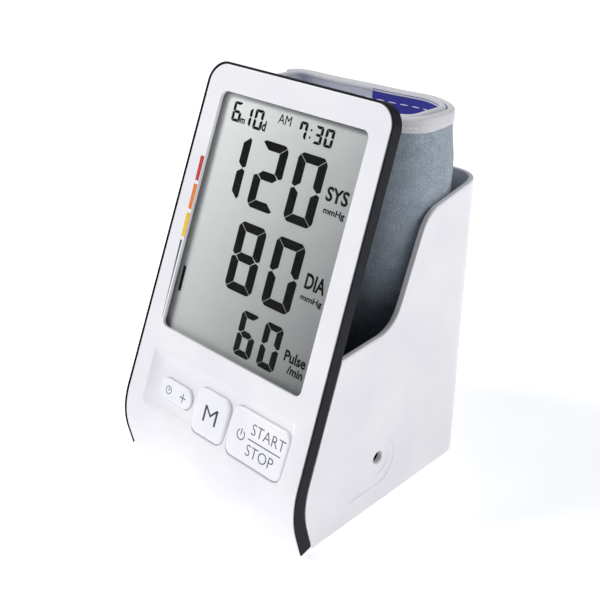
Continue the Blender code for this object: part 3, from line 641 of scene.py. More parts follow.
def bandFrame():
    band = {"lipHeight": 0.3, "railWidth": 2.4, "edge": 0.35}
    lip, deep, back = shell["lip"], shell["coverThickness"] + shell["gap"], shell["bandDepth"]
    edge, high = band["edge"], band["lipHeight"]
    profile = [(edge, back)]
    profile += [(edge * (1 - math.sin(t)), back - edge * (1 - math.cos(t)))
                for t in span(0, math.pi / 2, 4)[1:]]
    profile += [(0, 1.2), (0, 0.15)]
    profile += [(lip / 2 * (1 - math.cos(t)), 0.0 - high * math.sin(t)) for t in span(0, math.pi, 6)[1:]]
    profile += [(lip, 0.3), (lip, deep), (band["railWidth"], deep), (band["railWidth"], back)]
    if len(profile) % 2:
        profile.append((1.4, back))
    sections = [[edgePoint(station, i, d) for i, d in profile] for station in edgeStations()]
    putMesh("bandFrameShell", loft(sections), finishes["band_charcoal"], "housing",
            ["mid_frame"], smooth=30)


def rimLine():
    # The rear wall's edge as y and height: low beside the keys, then an S up to the back.
    corners = ((-40.0, 78.2, 0), (-0.5, 80.9, 14.4), (17.2, 123.7, 13.6),
               (47.0, 130.0, 20.0), (60.0, 130.0, 0))
    line = [Vector(corners[0][:2])]
    for before, corner, after in zip(corners, corners[1:], corners[2:]):
        apex, radius = Vector(corner[:2]), corner[2]
        back = (Vector(before[:2]) - apex).normalized()
        ahead = (Vector(after[:2]) - apex).normalized()
        half = back.angle(ahead) / 2
        reach = radius / math.tan(half)
        centre = apex + (back + ahead).normalized() * radius / math.sin(half)
        start, end = apex + back * reach - centre, apex + ahead * reach - centre
        line += [centre + start.lerp(end, share).normalized() * radius for share in span(0, 1, 24)]
    return line + [Vector(corners[-1][:2])]


def rearBody():
    rim = rimLine()
    wall, floor, radius = shell["wall"], shell["floor"], shell["rearRadius"]
    back = shell["depth"] / 2

    def rimHeight(y):
        for low, high in zip(rim, rim[1:]):
            if y <= high.x:
                return low.y + (high.y - low.y) * (y - low.x) / (high.x - low.x)
        return rim[-1].y

    def place(station, z, inset):
        kind, side, value = station
        half = halfWidth(z)
        if kind == "side":
            start = frontY(z, shell["bandDepth"] + shell["gap"])
            return (side * (half - inset), start + (back - radius - start) * value, z)
        if kind == "rear":
            return ((half - radius) * value, back - inset, z)
        turn = math.radians(value)
        x = side * (half - radius) + (radius - inset) * math.cos(turn)
        return (x, back - radius + (radius - inset) * math.sin(turn), z)

    def section(station):
        height = 80.0
        for attempt in range(14):
            height = 0.5 * height + 0.5 * rimHeight(place(station, height, 0)[1])
        rows = [floor + (height - 1.2 - floor) * w for w in
                (0, 0.02, 0.05, 0.08, 0.12, 0.16, 0.2, 0.25, 0.3, 0.37, 0.45, 0.58, 0.72, 0.86, 1)]
        outside = [(0, z) for z in rows]
        big, small, quarter = 0.85, 0.35, math.pi / 2
        edge = [(big * (1 - math.cos(t)), height - big * (1 - math.sin(t))) for t in span(0, quarter, 6)]
        edge += [(wall - small * (1 - math.cos(t)), height - small * (1 - math.sin(t)))
                 for t in span(quarter, 0, 3)]
        inside = [(wall, z) for z in reversed(rows)]
        return [place(station, z, inset) for inset, z in outside + edge + inside]

    stations = [("side", -1, v) for v in span(0, 1, 76)]
    stations += [("corner", -1, v) for v in span(180, 90, 20)[1:]]
    stations += [("rear", 0, v) for v in span(-1, 1, 10)[1:-1]]
    stations += [("corner", 1, v) for v in span(90, 0, 20)[:-1]]
    stations += [("side", 1, v) for v in span(1, 0, 76)]
    sections = [section(station) for station in stations]
    if len(sections[0]) % 2:
        sections = [points[:-1] for points in sections]
    made = putMesh("rearBodyShell", loft(sections, caps="strip"), finishes["housing_white"], None,
                   smooth=None)
    y, z = shell["socketY"], shell["socketZ"]
    surface = halfWidth(z)
    cutters = []
    for side, hole in ((1, 2.75), (-1, 4.6)):
        profile = [(0, 40), (hole, 40), (hole, surface - 0.5)]
        profile += [(hole + 0.5 * (1 - math.cos(t)), surface - 0.5 + 0.52 * math.sin(t))
                    for t in span(0, math.pi / 2, 4)[1:]]
        cutters.append(turned(profile + [(hole + 0.5, 60), (0, 60)], (0, y, z), (side, 0, 0)))
    notch = 31.1
    plan = ((-notch, 50), (notch, 50), (notch, 60), (-notch, 60))
    cutters.append(loft([[(x, v, h) for x, v in plan] for h in (0, 4.2)]))
    carve(made, cutters, smooth=32)
    register(made, "housing", ["rear_body"])


def jackRelief():
    # Raised arcs beside the power jack, the outer one running forward as a line.
    relief = {"radius": 0.3, "inner": 6.7, "outer": 10.6, "lineLength": 19.0}
    y0, high, low = shell["socketY"] - 0.1, 23.0, 21.7

    def onWall(y, z):
        return Vector((halfWidth(z) - relief["radius"] * 0.35, y, z))

    inner = [onWall(y0 + relief["inner"] * math.cos(t), high + relief["inner"] * math.sin(t))
             for t in span(math.radians(58), math.radians(-95), 30)]
    outer = [onWall(y0 + relief["outer"] * math.cos(t), low + relief["outer"] * math.sin(t))
             for t in span(math.radians(62), math.radians(-88), 36)]
    outer += [onWall(y0 - relief["lineLength"] * share, low - relief["outer"] + 0.3 * share)
              for share in span(0, 1, 16)[1:]]
    for name, route in (("jackInnerArc", inner), ("jackOuterArc", outer)):
        putMesh(name, tubeAlong(route, relief["radius"]), finishes["housing_white"], "housing")


frontCover()
print("front cover done")
bandFrame()
rearBody()
jackRelief()
print("band and rear body done")


def keyCap(name, rect, radius, flange, body, fillet=0.9):
    # A soft-edged cap on a flange; its top is faintly domed.
    top = keys["topDepth"]
    rim, side = roundedRect(*grown(rect, 0.6), radius + 0.6), roundedRect(*rect, radius)
    loops = [(rim, flange[1]), (rim, flange[0]), (side, flange[0]), (side, top + fillet + 0.4)]
    for t in span(0, math.pi / 2, 7):
        inset = fillet * (1 - math.cos(t))
        loops.append((roundedRect(*grown(rect, -inset), radius - inset), top + fillet * (1 - math.sin(t))))
    for inset, rise in ((1.6, 0.02), (2.6, 0.05)):
        loops.append((roundedRect(*grown(rect, -inset), max(radius - inset, 0.4)), top - rise))
    putMesh(name, faceLoft(loops), finishes["key_white"], body, [body], smooth=34)


keyCap("clockPlusCap", keys["rocker"], 4.0, (3.2, 3.8), "clock_plus_key", 0.5)
keyCap("memoryCap", keys["memory"], 4.0, (2.75, 3.5), "memory_key", 1.1)
keyCap("startStopCap", keys["start"], 4.0, (2.75, 3.5), "start_stop_key", 1.1)


# Printing is made of thin flat shapes set at the surface under them.
def printed(name, outlines, depth, finish, body, thickness=0.06):
    # Outlines are lists of (u, s); each becomes a thin plate on the face at that depth.
    bm = bmesh.new()
    for outline in outlines:
        front = [bm.verts.new(faceFlat(u, s, depth - thickness / 2)) for u, s in outline]
        back = [bm.verts.new(faceFlat(u, s, depth + thickness / 2)) for u, s in outline]
        bm.faces.new(front)
        bm.faces.new(list(reversed(back)))
        for k in range(len(outline)):
            after = (k + 1) % len(outline)
            bm.faces.new((front[k], back[k], back[after], front[after]))
    return putMesh(name, bm, finish, body, smooth=None)


def ringOutline(u, s, outer, width, first=0, last=360, steps=28):
    # A ring or part of one, as one outline; turns are clockwise from the top.
    turns = [math.radians(t) for t in span(first, last, steps)]
    edge = [(u + outer * math.sin(t), s - outer * math.cos(t)) for t in turns]
    inner = [(u + (outer - width) * math.sin(t), s - (outer - width) * math.cos(t)) for t in reversed(turns)]
    return edge + inner


def bar(u0, s0, u1, s1, width):
    along = Vector((u1 - u0, s1 - s0)).normalized()
    side = Vector((-along.y, along.x)) * width / 2
    return [(u0 + side.x, s0 + side.y), (u1 + side.x, s1 + side.y),
            (u1 - side.x, s1 - side.y), (u0 - side.x, s0 - side.y)]


def lettering(name, words, box, depth, finish, body, weight=0.0, thickness=0.06):
    # Plain letters fitted to a box on the face, given as left, right, top and bottom.
    curve = bpy.data.curves.new(name, "FONT")
    curve.body, curve.offset, curve.resolution_u = words, weight, 3
    helper = bpy.data.objects.new(name + "Curve", curve)
    bpy.context.scene.collection.objects.link(helper)
    bpy.context.view_layer.update()
    flat = bpy.data.meshes.new_from_object(helper.evaluated_get(bpy.context.evaluated_depsgraph_get()))
    bpy.data.objects.remove(helper)
    bm = bmesh.new()
    bm.from_mesh(flat)
    bpy.data.meshes.remove(flat)
    bmesh.ops.remove_doubles(bm, verts=bm.verts, dist=0.0001)
    low = [min(v.co[k] for v in bm.verts) for k in (0, 1)]
    high = [max(v.co[k] for v in bm.verts) for k in (0, 1)]
    left, right, top, bottom = box
    solid = bmesh.ops.extrude_face_region(bm, geom=bm.faces[:])
    raised = {v for v in solid["geom"] if isinstance(v, bmesh.types.BMVert)}
    for v in bm.verts:
        u = left + (right - left) * (v.co.x - low[0]) / (high[0] - low[0])
        s = bottom - (bottom - top) * (v.co.y - low[1]) / (high[1] - low[1])
        v.co = faceFlat(u, s, depth + (-thickness / 2 if v in raised else thickness / 2))
    return putMesh(name, bm, finish, body, smooth=None)


# Numbers and small numbers are text, left, top, cell width, cell height, pitch and stroke.
display = {"depth": 2.88, "gap": 0.32, "smallGap": 0.16, "corner": 0.6, "upright": 1.2,
           "numbers": (("120", -33.1, 25.6, 14.8, 27.1, 20.1, 3.5),
                       ("80", -13.6, 58.8, 15.2, 28.0, 20.8, 3.6),
                       ("60", -0.3, 91.9, 9.7, 18.3, 13.1, 2.6)),
           "small": (("6", -32.7, 14.3, 4.9, 8.1, 6.6, 1.15), ("10", -26.6, 15.0, 4.9, 8.0, 6.3, 1.15),
                     ("7", 3.9, 14.6, 4.0, 7.0, 5.3, 1.1), ("30", 11.6, 14.6, 4.3, 7.0, 5.4, 1.1)),
           "words": (("SYS", (24.7, 35.4, 34.6, 40.2)), ("mmHg", (25.3, 35.6, 42.4, 45.6)),
                     ("DIA", (26.0, 35.9, 67.9, 74.0)), ("mmHg", (25.6, 36.3, 76.2, 79.2)),
                     ("Pulse", (25.7, 36.6, 98.7, 103.1)), ("/min", (28.6, 36.6, 103.9, 107.3)),
                     ("m", (-27.6, -24.9, 20.3, 22.4)), ("d", (-15.2, -13.1, 18.6, 22.8)),
                     ("AM", (-7.7, -0.9, 14.2, 18.0)))}
strokesOf = {"0": "abcdef", "1": "bc", "2": "abged", "3": "abgcd", "6": "afgedc", "7": "fabc",
             "8": "abcdefg"}


def digitStrokes(text, left, top, width, height, pitch, stroke, gap):
    # Seven-bar numerals with mitred joints and clipped outer corners; upright bars are wider.
    t, v, clip, g, h = stroke, stroke * display["upright"], stroke * display["corner"], gap / 2, height
    middle, w = height / 2, width
    shapes = {
        "a": [(clip + g, 0), (w - clip - g, 0), (w - clip * 0.4 - g, clip * 0.4), (w - v - g, t), (v + g, t),
              (clip * 0.4 + g, clip * 0.4)],
        "f": [(0, clip + g), (clip * 0.4, clip * 0.4 + g), (v, t + g), (v, middle - t / 2 - g),
              (v * 0.4, middle - g), (0, middle - t * 0.2 - g)],
        "g": [(v * 0.5 + g, middle), (v + g, middle - t / 2), (w - v - g, middle - t / 2),
              (w - v * 0.5 - g, middle), (w - v - g, middle + t / 2), (v + g, middle + t / 2)]}
    shapes["b"] = [(w - x, y) for x, y in shapes["f"]]
    shapes["e"] = [(x, h - y) for x, y in shapes["f"]]
    shapes["c"] = [(w - x, h - y) for x, y in shapes["f"]]
    shapes["d"] = [(x, h - y) for x, y in shapes["a"]]
    outlines = []
    for k, numeral in enumerate(text):
        for segment in strokesOf[numeral]:
            outlines.append([(left + k * pitch + x, top + y) for x, y in shapes[segment]])
    return outlines


def displayContents():
    ink, depth = finishes["ink_black"], display["depth"]
    large, small = [], []
    for text, *sizes in display["numbers"]:
        large += digitStrokes(text, *sizes, display["gap"])
    for text, *sizes in display["small"]:
        small += digitStrokes(text, *sizes, display["smallGap"])
    printed("displayNumbers", large, depth, ink, "housing")
    dots = [[(9.5, s), (10.3, s), (10.3, s + 0.8), (9.5, s + 0.8)] for s in (16.6, 19.4)]
    printed("displayDate", small + dots, depth, ink, "housing")
    printed("displayMarker", [bar(-37.7, 85.9, -37.7, 96.9, 1.6)], depth, ink, "housing")
    for k, (words, box) in enumerate(display["words"]):
        weight = 0.0 if words == "AM" else 0.028
        lettering("displayWord%d" % (k + 1), words, box, depth, ink, "housing", weight)


def facePrinting():
    # The level bars beside the window, and the key symbols.
    bars = (("levelHigh", 39.5, 49.9, "print_red"), ("levelRaised", 51.4, 62.1, "print_orange"),
            ("levelNormal", 63.8, 74.1, "print_yellow"))
    for name, top, bottom, colour in bars:
        outline = [(-41.5, top), (-39.3, top), (-39.5, bottom), (-41.4, bottom)]
        printed(name, [outline], 0.0, finishes[colour], "housing", 0.05)
    tail = [(-41.4, 75.6), (-40.3, 75.6), (-40.7, 96.0), (-40.85, 110.0), (-41.0, 110.0), (-41.1, 96.0)]
    printed("levelTail", [tail], 0.0, finishes["print_slate"], "housing", 0.05)
    slate, top = finishes["print_slate"], keys["topDepth"] - 0.06
    clock = [ringOutline(-26.9, 137.2, 1.75, 0.3, 0, 359), bar(-26.9, 137.4, -26.9, 135.9, 0.25),
             bar(-26.95, 137.35, -25.9, 136.6, 0.25)]
    plus = [bar(-19.9, 137.2, -16.1, 137.2, 0.4),
            [(-18.2, 135.3), (-17.8, 135.3), (-17.8, 136.99), (-18.2, 136.99)],
            [(-18.2, 137.41), (-17.8, 137.41), (-17.8, 139.1), (-18.2, 139.1)]]
    printed("clockPlusSymbols", clock + plus, top, slate, "clock_plus_key")
    lettering("memoryLetter", "M", (-4.6, 2.9, 134.2, 141.0), top, slate, "memory_key",
              weight=-0.006)
    power = [ringOutline(17.0, 137.5, 2.2, 0.42, 32, 328), bar(17.0, 134.9, 17.0, 137.6, 0.42)]
    power.append(bar(21.0, 137.5, 38.4, 137.5, 0.42))
    printed("powerSymbol", power, top, slate, "start_stop_key")
    for name, words, box in (("startWord", "START", (21.8, 39.4, 130.8, 135.3)),
                             ("stopWord", "STOP", (21.4, 35.9, 139.5, 144.0))):
        lettering(name, words, box, top, slate, "start_stop_key", weight=-0.012)


displayContents()
facePrinting()
print("keys, display and printing done")


cuff = {"centre": (0.2, 26.6), "half": (44.3, 22.2), "squareness": 3.0, "bottom": 21.8, "top": 159.6,
        "wall": 2.6, "layerStep": 3.0, "innerEnd": -60.0, "outerEnd": 532.0, "bulge": 1.6,
        "binding": 5.6, "bindingInside": 1.15, "bindingRise": 0.3, "bindingCloth": 0.4, "seamDrop": 3.4,
        "sag": 1.8, "turnedUnder": 0.5, "foldGap": 1.7, "paneEdge": -1.5, "paleLength": 90.0}


def cuffPoint(turn, inset):
    # A point on the rolled cuff's plan, that far in from its outer surface.
    a, b = cuff["half"]
    power = 2 / cuff["squareness"]

    def on(angle):
        c, s = math.cos(angle), math.sin(angle)
        return Vector((cuff["centre"][0] + a * math.copysign(abs(c) ** power, c),
                       cuff["centre"][1] + b * math.copysign(abs(s) ** power, s)))

    here = on(turn)
    along = (on(turn + 0.01) - on(turn - 0.01)).normalized()
    return here + Vector((-along.y, along.x)) * inset


def cuffPath(step=1.3):
    # The roll's middle line from its inner end to its outer end, evenly spaced: point, outward
    # direction, turn in degrees and distance along the cloth.
    def inset(degrees):
        under = 1 - ease(degrees, 172, 262)
        tight = math.exp(-(degrees / 20) ** 2) * cuff["foldGap"]
        return cuff["bindingRise"] + cuff["wall"] / 2 + cuff["layerStep"] * under + tight

    rough = []
    for degrees in span(cuff["innerEnd"], cuff["outerEnd"], 1500):
        turn = math.radians(degrees)
        rough.append((cuffPoint(turn, inset(degrees)), degrees))
    # The oval's quarter points bunch up, so the line is smoothed before it is measured.
    for sweep in range(60):
        softer = [((a[0] + b[0] * 2 + c[0]) / 4, b[1]) for a, b, c in zip(rough, rough[1:], rough[2:])]
        rough = [rough[0]] + softer + [rough[-1]]
    line, travelled, due = [], 0.0, 0.0
    for (here, degrees), (ahead, later) in zip(rough, rough[1:]):
        length = (ahead - here).length
        while due <= travelled + length and length > 0:
            share = (due - travelled) / length
            line.append((here.lerp(ahead, share), degrees + (later - degrees) * share, due))
            due += step
        travelled += length
    path = []
    for k, (point, degrees, run) in enumerate(line):
        along = (line[min(k + 1, len(line) - 1)][0] - line[max(k - 1, 0)][0]).normalized()
        path.append((point, Vector((along.y, -along.x)), degrees, run))
    return path


path = cuffPath()
clothLength = path[-1][3]
print("cuff length along the cloth: %.0f mm" % clothLength)


def sagged(degrees, z):
    # The roll's upper edge dips a little at the back.
    across = (degrees % 360 - 108) / 52
    dip = cuff["sag"] * max(0.0, 1 - across * across) ** 2
    return z - dip * ease(z, cuff["bottom"] + 70, cuff["top"])


def cuffSide(station, z, side):
    # The cuff's surface at one station: side +1 is the outward face, -1 the inward one.
    point, out, degrees, run = station
    pinch = ease(z, cuff["bottom"] + 5, cuff["bottom"] + 22) * ease(cuff["top"] - z, 5, 22)
    free = ease(degrees, 236, 268) if side > 0 else 1 - ease(degrees, 296, 322)
    ends = ease(run, 0, 14) * ease(clothLength - run, 0, 14)
    quilt = 0.78 + 0.22 * math.sin(run * 0.11 + side) * math.sin(z * 0.052 + 0.6)
    puff = cuff["bulge"] * pinch * ends * quilt
    wrinkle = noise.noise(Vector((run * 0.045, z * 0.022, 4.0 * side))) * 0.5
    crease = noise.noise(Vector((run * 0.16, z * 0.035, 9.0 + side))) * 0.22 * pinch
    reach = cuff["wall"] / 2 + free * (puff + (abs(wrinkle) * 0.7 + crease) * ends * (0.15 + 0.85 * pinch))
    return (*(point + out * side * reach), sagged(degrees, z))


def setUv(made, places):
    # One UV map in metres along and up the cloth, from a place for each vertex.
    layer = made.data.uv_layers.new(name="clothPlan")
    for loop in made.data.loops:
        layer.data[loop.index].uv = places[loop.vertex_index]


def rolledCuff():
    low, high = cuff["bottom"] + 0.4, cuff["top"] - 0.4
    heights = [low, low + 1.5, low + 4] + span(low + 8, high - 8, 34) + [high - 4, high - 1.5, high]
    edge = [cuff["bottom"], cuff["top"]]
    sections, places = [], []
    for station in path:
        point, out, degrees, run = station
        outer = [cuffSide(station, z, 1) for z in heights]
        inner = [cuffSide(station, z, -1) for z in reversed(heights)]
        cap = [(*(point + out * cuff["wall"] * 0.28 * side), sagged(degrees, edge[1])) for side in (1, -1)]
        foot = [(*(point + out * cuff["wall"] * 0.28 * side), edge[0]) for side in (-1, 1)]
        sections.append(outer + cap + inner + foot)
        places += [(run * millimetre, p[2] * millimetre + (0.2 if k > len(heights) else 0))
                   for k, p in enumerate(sections[-1])]
    # Each end cap pairs the outward side of the loop with its inward side.
    bm = bmesh.new()
    rows = [[bm.verts.new(p) for p in section] for section in sections]
    count, tall = len(sections[0]), len(heights)
    for near, far in zip(rows, rows[1:]):
        for k in range(count):
            after = (k + 1) % count
            face = bm.faces.new((near[k], near[after], far[after], far[k]))
            inward = tall < k < tall + 1 + tall
            face.material_index = 1 if inward else 0
    order = [-1] + list(range(tall + 1)), [-2] + list(range(2 * tall + 1, tall, -1))
    for end in (rows[0], rows[-1]):
        for k in range(tall + 1):
            corners = [end[order[0][k]], end[order[0][k + 1]], end[order[1][k + 1]], end[order[1][k]]]
            if len(set(corners)) == 4:
                bm.faces.new(corners)
    cloths = [finishes[key] for key in ("cuff_fabric", "lining_blue", "lining_pale")]
    made = putMesh("cuffRoll", bm, cloths, None, smooth=50, weighted=False)
    # A stretch of the inward face past the pane edge gets the pale lining: a painted highlight on the blue
    # cloth.
    blueRun = next(run for point, out, degrees, run in path if degrees > 60 and point.x < cuff["paneEdge"])
    for face in made.data.polygons:
        if face.material_index == 1:
            run = sum(places[v][0] for v in face.vertices) / len(face.vertices) / millimetre
            face.material_index = 2 if blueRun < run < blueRun + cuff["paleLength"] else 1
    setUv(made, places)
    register(made, "cuff", ["cuff_cover", "cuff_lining", "cuff_bladder"])


def foldedTape(name, stations, hems, stands=()):
    # A tape folded over an edge of the cloth. Each station is a point on the edge, the cloth's
    # outward direction, the way the edge faces and the distance along; hems are how far the
    # tape reaches down the outward and the inward side.
    half, rise, cloth = cuff["wall"] / 2, cuff["bindingRise"], cuff["bindingCloth"]
    under = rise * 0.45

    def shapeAt(run):
        outHem = hems[0] + 0.3 * noise.noise(Vector((run * 0.07, 2.0, 1.0)))
        inHem = hems[1] + 0.2 * noise.noise(Vector((run * 0.07, 5.0, 1.0)))
        shape = [(half + 0.16, -outHem), (half + rise, -outHem + 0.3),
                 (half + rise + 0.05, -outHem * 0.55 - 0.4)]
        for t in span(0.0, math.pi, 12):
            reach = half + (rise if t < math.pi / 2 else under)
            shape.append((reach * math.cos(t), -1.2 + (1.2 + cloth) * math.sin(t)))
        shape += [(-half - under, -inHem + 0.25), (-half - 0.06, -inHem)]
        within = [(x * (half - 0.1) / (half + rise), h - 0.4 if h > -1 else h) for x, h in shape]
        return shape, shape + list(reversed(within))

    sections, places = [], []
    for point, out, facing, run in stations:
        shape, loop = shapeAt(run)
        fuzz = 0.05 * noise.noise(Vector((run * 0.3, 7.0, 2.0)))
        sections.append([point + out * (x + math.copysign(fuzz, x)) + facing * h for x, h in loop])
        around = 0.0
        for before, here in zip([loop[0]] + loop, loop):
            around += math.hypot(here[0] - before[0], here[1] - before[1])
            places.append((run * millimetre, around * millimetre))
    # The flat width adds an allowance for turned-under hems; the mesh has no turned-under cloth.
    width = (sum(math.dist(p, q) for p, q in zip(shape, shape[1:])) + 2 * cuff["turnedUnder"]) * millimetre
    made = putMesh(name, loft(sections, caps="strip"), finishes["binding_pale"], None, smooth=60,
                   weighted=False)
    setUv(made, places)
    register(made, "cuff", stands)
    stations[-1][3] * millimetre
    print("%s: tape %.1f mm wide, %.0f mm long" % (name, width * 1000, stations[-1][3]))


def cuffTapes():
    up = Vector((0, 0, 1))
    hems = (cuff["binding"], cuff["bindingInside"])
    for name, edge, facing, node in (("cuffTopTape", cuff["top"], up, "cuff_top_binding"),
                                     ("cuffBottomTape", cuff["bottom"], -up, "cuff_bottom_binding")):
        stations = [(Vector((*point, sagged(degrees, edge))), Vector((*out, 0)), facing, run)
                    for point, out, degrees, run in path]
        foldedTape(name, stations, hems, [node])
    for name, index, sign in (("cuffInnerEndTape", 0, -1), ("cuffOuterEndTape", -1, 1)):
        point, out, degrees, run = path[index]
        along = Vector((-out.y, out.x, 0)) * sign
        heights = span(cuff["bottom"] + 0.3, cuff["top"] - 0.3, 60)
        stations = [(Vector((*point, z)), Vector((*out, 0)), along, z - heights[0]) for z in heights]
        foldedTape(name, stations, (4.5, 4.0))


def hookPad():
    # The hook patch on the flap's outer end, sewn flat on the cloth.
    pad = {"low": 46.0, "high": 136.0, "width": 27.0, "fromEnd": 6.0, "thickness": 1.3, "edge": 2.0}
    last = clothLength - pad["fromEnd"]
    stations = [station for station in path if last - pad["width"] < station[3] < last]
    levels = span(pad["low"], pad["high"], 40)
    begin, end = stations[0][3], stations[-1][3]

    def thick(run, z):
        nearest = min(run - begin, end - run, z - pad["low"], pad["high"] - z)
        return 0.45 + (pad["thickness"] - 0.45) * math.sqrt(ease(nearest, -0.3, pad["edge"]))

    sections, places = [], []
    for station in stations:
        out, run = Vector((*station[1], 0)), station[3]
        outer = [Vector(cuffSide(station, z, 1)) + out * thick(run, z) for z in levels]
        inner = [Vector(cuffSide(station, z, 1)) + out * 0.05 for z in reversed(levels)]
        sections.append(outer + inner)
        places += [(run * millimetre, point.z * millimetre) for point in outer + inner]
    made = putMesh("hookPad", loft(sections, caps="strip"), finishes["hook_tape"], None, smooth=50,
                   weighted=False)
    setUv(made, places)
    register(made, "cuff", ["cuff_hook_pad"])
    (end - begin) * millimetre


rolledCuff()
cuffTapes()
hookPad()
print("cuff done")


# Stitches, screws and grip ribs repeat, so Geometry Nodes makes them.
def geometryTree(name, sockets):
    tree = bpy.data.node_groups.new(name, "GeometryNodeTree")
    tree.interface.new_socket("Geometry", in_out="INPUT", socket_type="NodeSocketGeometry")
    for title, kind, default in sockets:
        made = tree.interface.new_socket(title, in_out="INPUT", socket_type="NodeSocket" + kind)
        if default is not None:
            made.default_value = default
    tree.interface.new_socket("Geometry", in_out="OUTPUT", socket_type="NodeSocketGeometry")
    start, end = tree.nodes.new("NodeGroupInput"), tree.nodes.new("NodeGroupOutput")

    def add(kind, settings=None, **inputs):
        node = tree.nodes.new(kind)
        for key, value in (settings or {}).items():
            setattr(node, key, value)
        for key, value in inputs.items():
            socket = node.inputs[key.replace("_", " ")]
            if isinstance(value, bpy.types.NodeSocket):
                tree.links.new(value, socket)
            else:
                socket.default_value = value
        return node

    return tree, start, end, add


def stitchTree():
    # Short threads spaced along a line.
    tree, start, end, add = geometryTree("stitchRow", (
        ("Pitch", "Float", 0.004), ("Length", "Float", 0.0026), ("Thickness", "Float", 0.0005),
        ("Thread", "Material", None)))
    source = start.outputs
    line = add("GeometryNodeMeshToCurve", Mesh=source["Geometry"])
    even = add("GeometryNodeResampleCurve", {"mode": "LENGTH"}, Curve=line.outputs[0],
               Length=source["Pitch"])
    tangent = add("GeometryNodeInputTangent")
    turn = add("FunctionNodeAlignRotationToVector", {"axis": "Z"}, Vector=tangent.outputs[0])
    ball = add("GeometryNodeMeshUVSphere", Segments=8, Rings=5, Radius=0.5)
    size = add("ShaderNodeCombineXYZ", X=source["Thickness"], Y=source["Thickness"], Z=source["Length"])
    thread = add("GeometryNodeTransform", Geometry=ball.outputs[0], Scale=size.outputs[0])
    spread = add("GeometryNodeInstanceOnPoints", Points=even.outputs[0], Instance=thread.outputs[0],
                 Rotation=turn.outputs[0])
    real = add("GeometryNodeRealizeInstances", Geometry=spread.outputs[0])
    last = add("GeometryNodeSetMaterial", Geometry=real.outputs[0], Material=source["Thread"])
    tree.links.new(last.outputs[0], end.inputs[0])
    return tree


def copyTree():
    # One finished piece copied to every point.
    tree, start, end, add = geometryTree("piecesOnPoints", (
        ("Piece", "Object", None), ("Turn step", "Float", 0.7), ("Finish", "Material", None)))
    source = start.outputs
    piece = add("GeometryNodeObjectInfo", Object=source["Piece"])
    order = add("GeometryNodeInputIndex")
    twist = add("ShaderNodeMath", {"operation": "MULTIPLY"})
    tree.links.new(order.outputs[0], twist.inputs[0])
    tree.links.new(source["Turn step"], twist.inputs[1])
    angle = add("ShaderNodeCombineXYZ", Z=twist.outputs[0])
    spread = add("GeometryNodeInstanceOnPoints", Points=source["Geometry"],
                 Instance=piece.outputs["Geometry"], Rotation=angle.outputs[0])
    real = add("GeometryNodeRealizeInstances", Geometry=spread.outputs[0])
    last = add("GeometryNodeSetMaterial", Geometry=real.outputs[0], Material=source["Finish"])
    tree.links.new(last.outputs[0], end.inputs[0])
    return tree


def grow(name, tree, points, edges, values, finish, body, stands=(), smooth=40):
    # Runs a tree on a line or on loose points, and keeps the plain mesh it makes.
    base = bpy.data.meshes.new(name)
    base.from_pydata([Vector(p) * millimetre for p in points], edges, [])
    made = bpy.data.objects.new(name, base)
    bpy.context.scene.collection.objects.link(made)
    growing = made.modifiers.new("grow", "NODES")
    growing.node_group = tree
    for item in tree.interface.items_tree:
        if item.in_out == "INPUT" and item.name in values:
            growing[item.identifier] = values[item.name]
    bake(made)
    made.data.materials.clear()
    made.data.materials.append(finish)
    settle(made, smooth, weighted=False)
    return register(made, body, stands)


def stitchLine(name, points, finish, pitch, length, thickness):
    edges = [(k, k + 1) for k in range(len(points) - 1)]
    values = {"Pitch": pitch, "Length": length, "Thickness": thickness, "Thread": finish}
    return grow(name, stitching, points, edges, values, finish, "cuff")


stitching, copying = stitchTree(), copyTree()


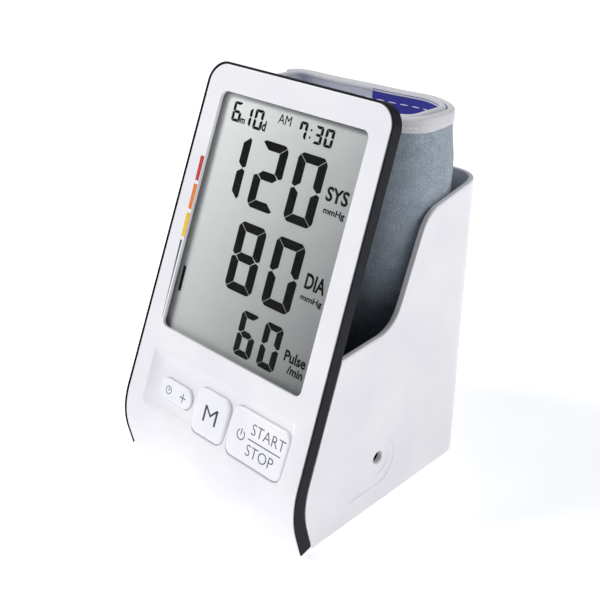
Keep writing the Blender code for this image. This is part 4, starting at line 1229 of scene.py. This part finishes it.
def cuffStitches():
    half, rise = cuff["wall"] / 2, cuff["bindingRise"]
    reach = cuff["binding"] * 0.62
    for name, level in (("topSeam", cuff["top"] - reach), ("bottomSeam", cuff["bottom"] + reach)):
        points = [(*(p + out * (half + rise + 0.06)), sagged(degrees, level))
                  for p, out, degrees, run in path]
        stitchLine(name, points, finishes["thread_white"], 0.0026, 0.0019, 0.0004)
    # A white quilting seam on the lining, below the tape.
    level = cuff["top"] - cuff["bindingInside"] - cuff["seamDrop"]
    inner = [station for station in path if 2 < station[3] < clothLength - 4]
    stitchLine("liningSeam", [Vector(cuffSide(s, level, -1)) - Vector((*s[1], 0)) * 0.12 for s in inner],
               finishes["thread_white"], 0.0062, 0.0045, 0.00048)


cuffStitches()


def screwsAndRibs():
    # Four countersunk screws with a cross recess, and the grip ribs on the battery door.
    screw = {"head": 2.7, "shank": 1.35, "places": ((-41, 4.5), (41, 4.5), (-38.5, 43), (38.5, 43))}
    ribs = {"first": 38, "pitch": 1.7, "count": 7, "half": 9, "radius": 0.34, "height": 1.82}
    head, shank = screw["head"], screw["shank"]
    profile = [(0, 1.9), (head - 0.25, 1.9), (head, 2.1), (head, 2.6), (shank, 2.75)]
    for k in range(10):
        profile += [(shank, 3.6 + k), (shank + 0.25, 3.95 + k), (shank, 4.3 + k)]
    template = putMesh("screwTemplate", turned(profile + [(0, 15.2)], (0, 0, 0), (0, 0, 1), 20),
                       finishes["plated_steel"], None, smooth=None)
    arms = [loft([[(x, y, z) for x, y in ((-a, -b), (a, -b), (a, b), (-a, b))] for z in (1.0, 2.5)])
            for a, b in ((1.5, 0.32), (0.32, 1.5))]
    carve(template, arms, 40)
    steel = finishes["plated_steel"]
    grow("baseScrews", copying, [(x, y, 0) for x, y in screw["places"]], [],
         {"Piece": template, "Turn step": 0.7, "Finish": steel}, steel, "housing",
         ["base_screw_%d" % k for k in range(1, 5)])
    line = [Vector((x, 0, 0)) for x in span(-ribs["half"], ribs["half"], 12)]
    rib = putMesh("ribTemplate", tubeAlong(line, ribs["radius"], 10),
                  finishes["housing_white"], None, smooth=None)
    points = [(0, ribs["first"] + ribs["pitch"] * k, ribs["height"]) for k in range(ribs["count"])]
    white = finishes["housing_white"]
    grow("doorGripRibs", copying, points, [], {"Piece": rib, "Turn step": 0.0, "Finish": white},
         white, "battery_door")
    for helper in (template, rib):
        bpy.data.objects.remove(helper)


screwsAndRibs()
print("stitches, screws and ribs done")
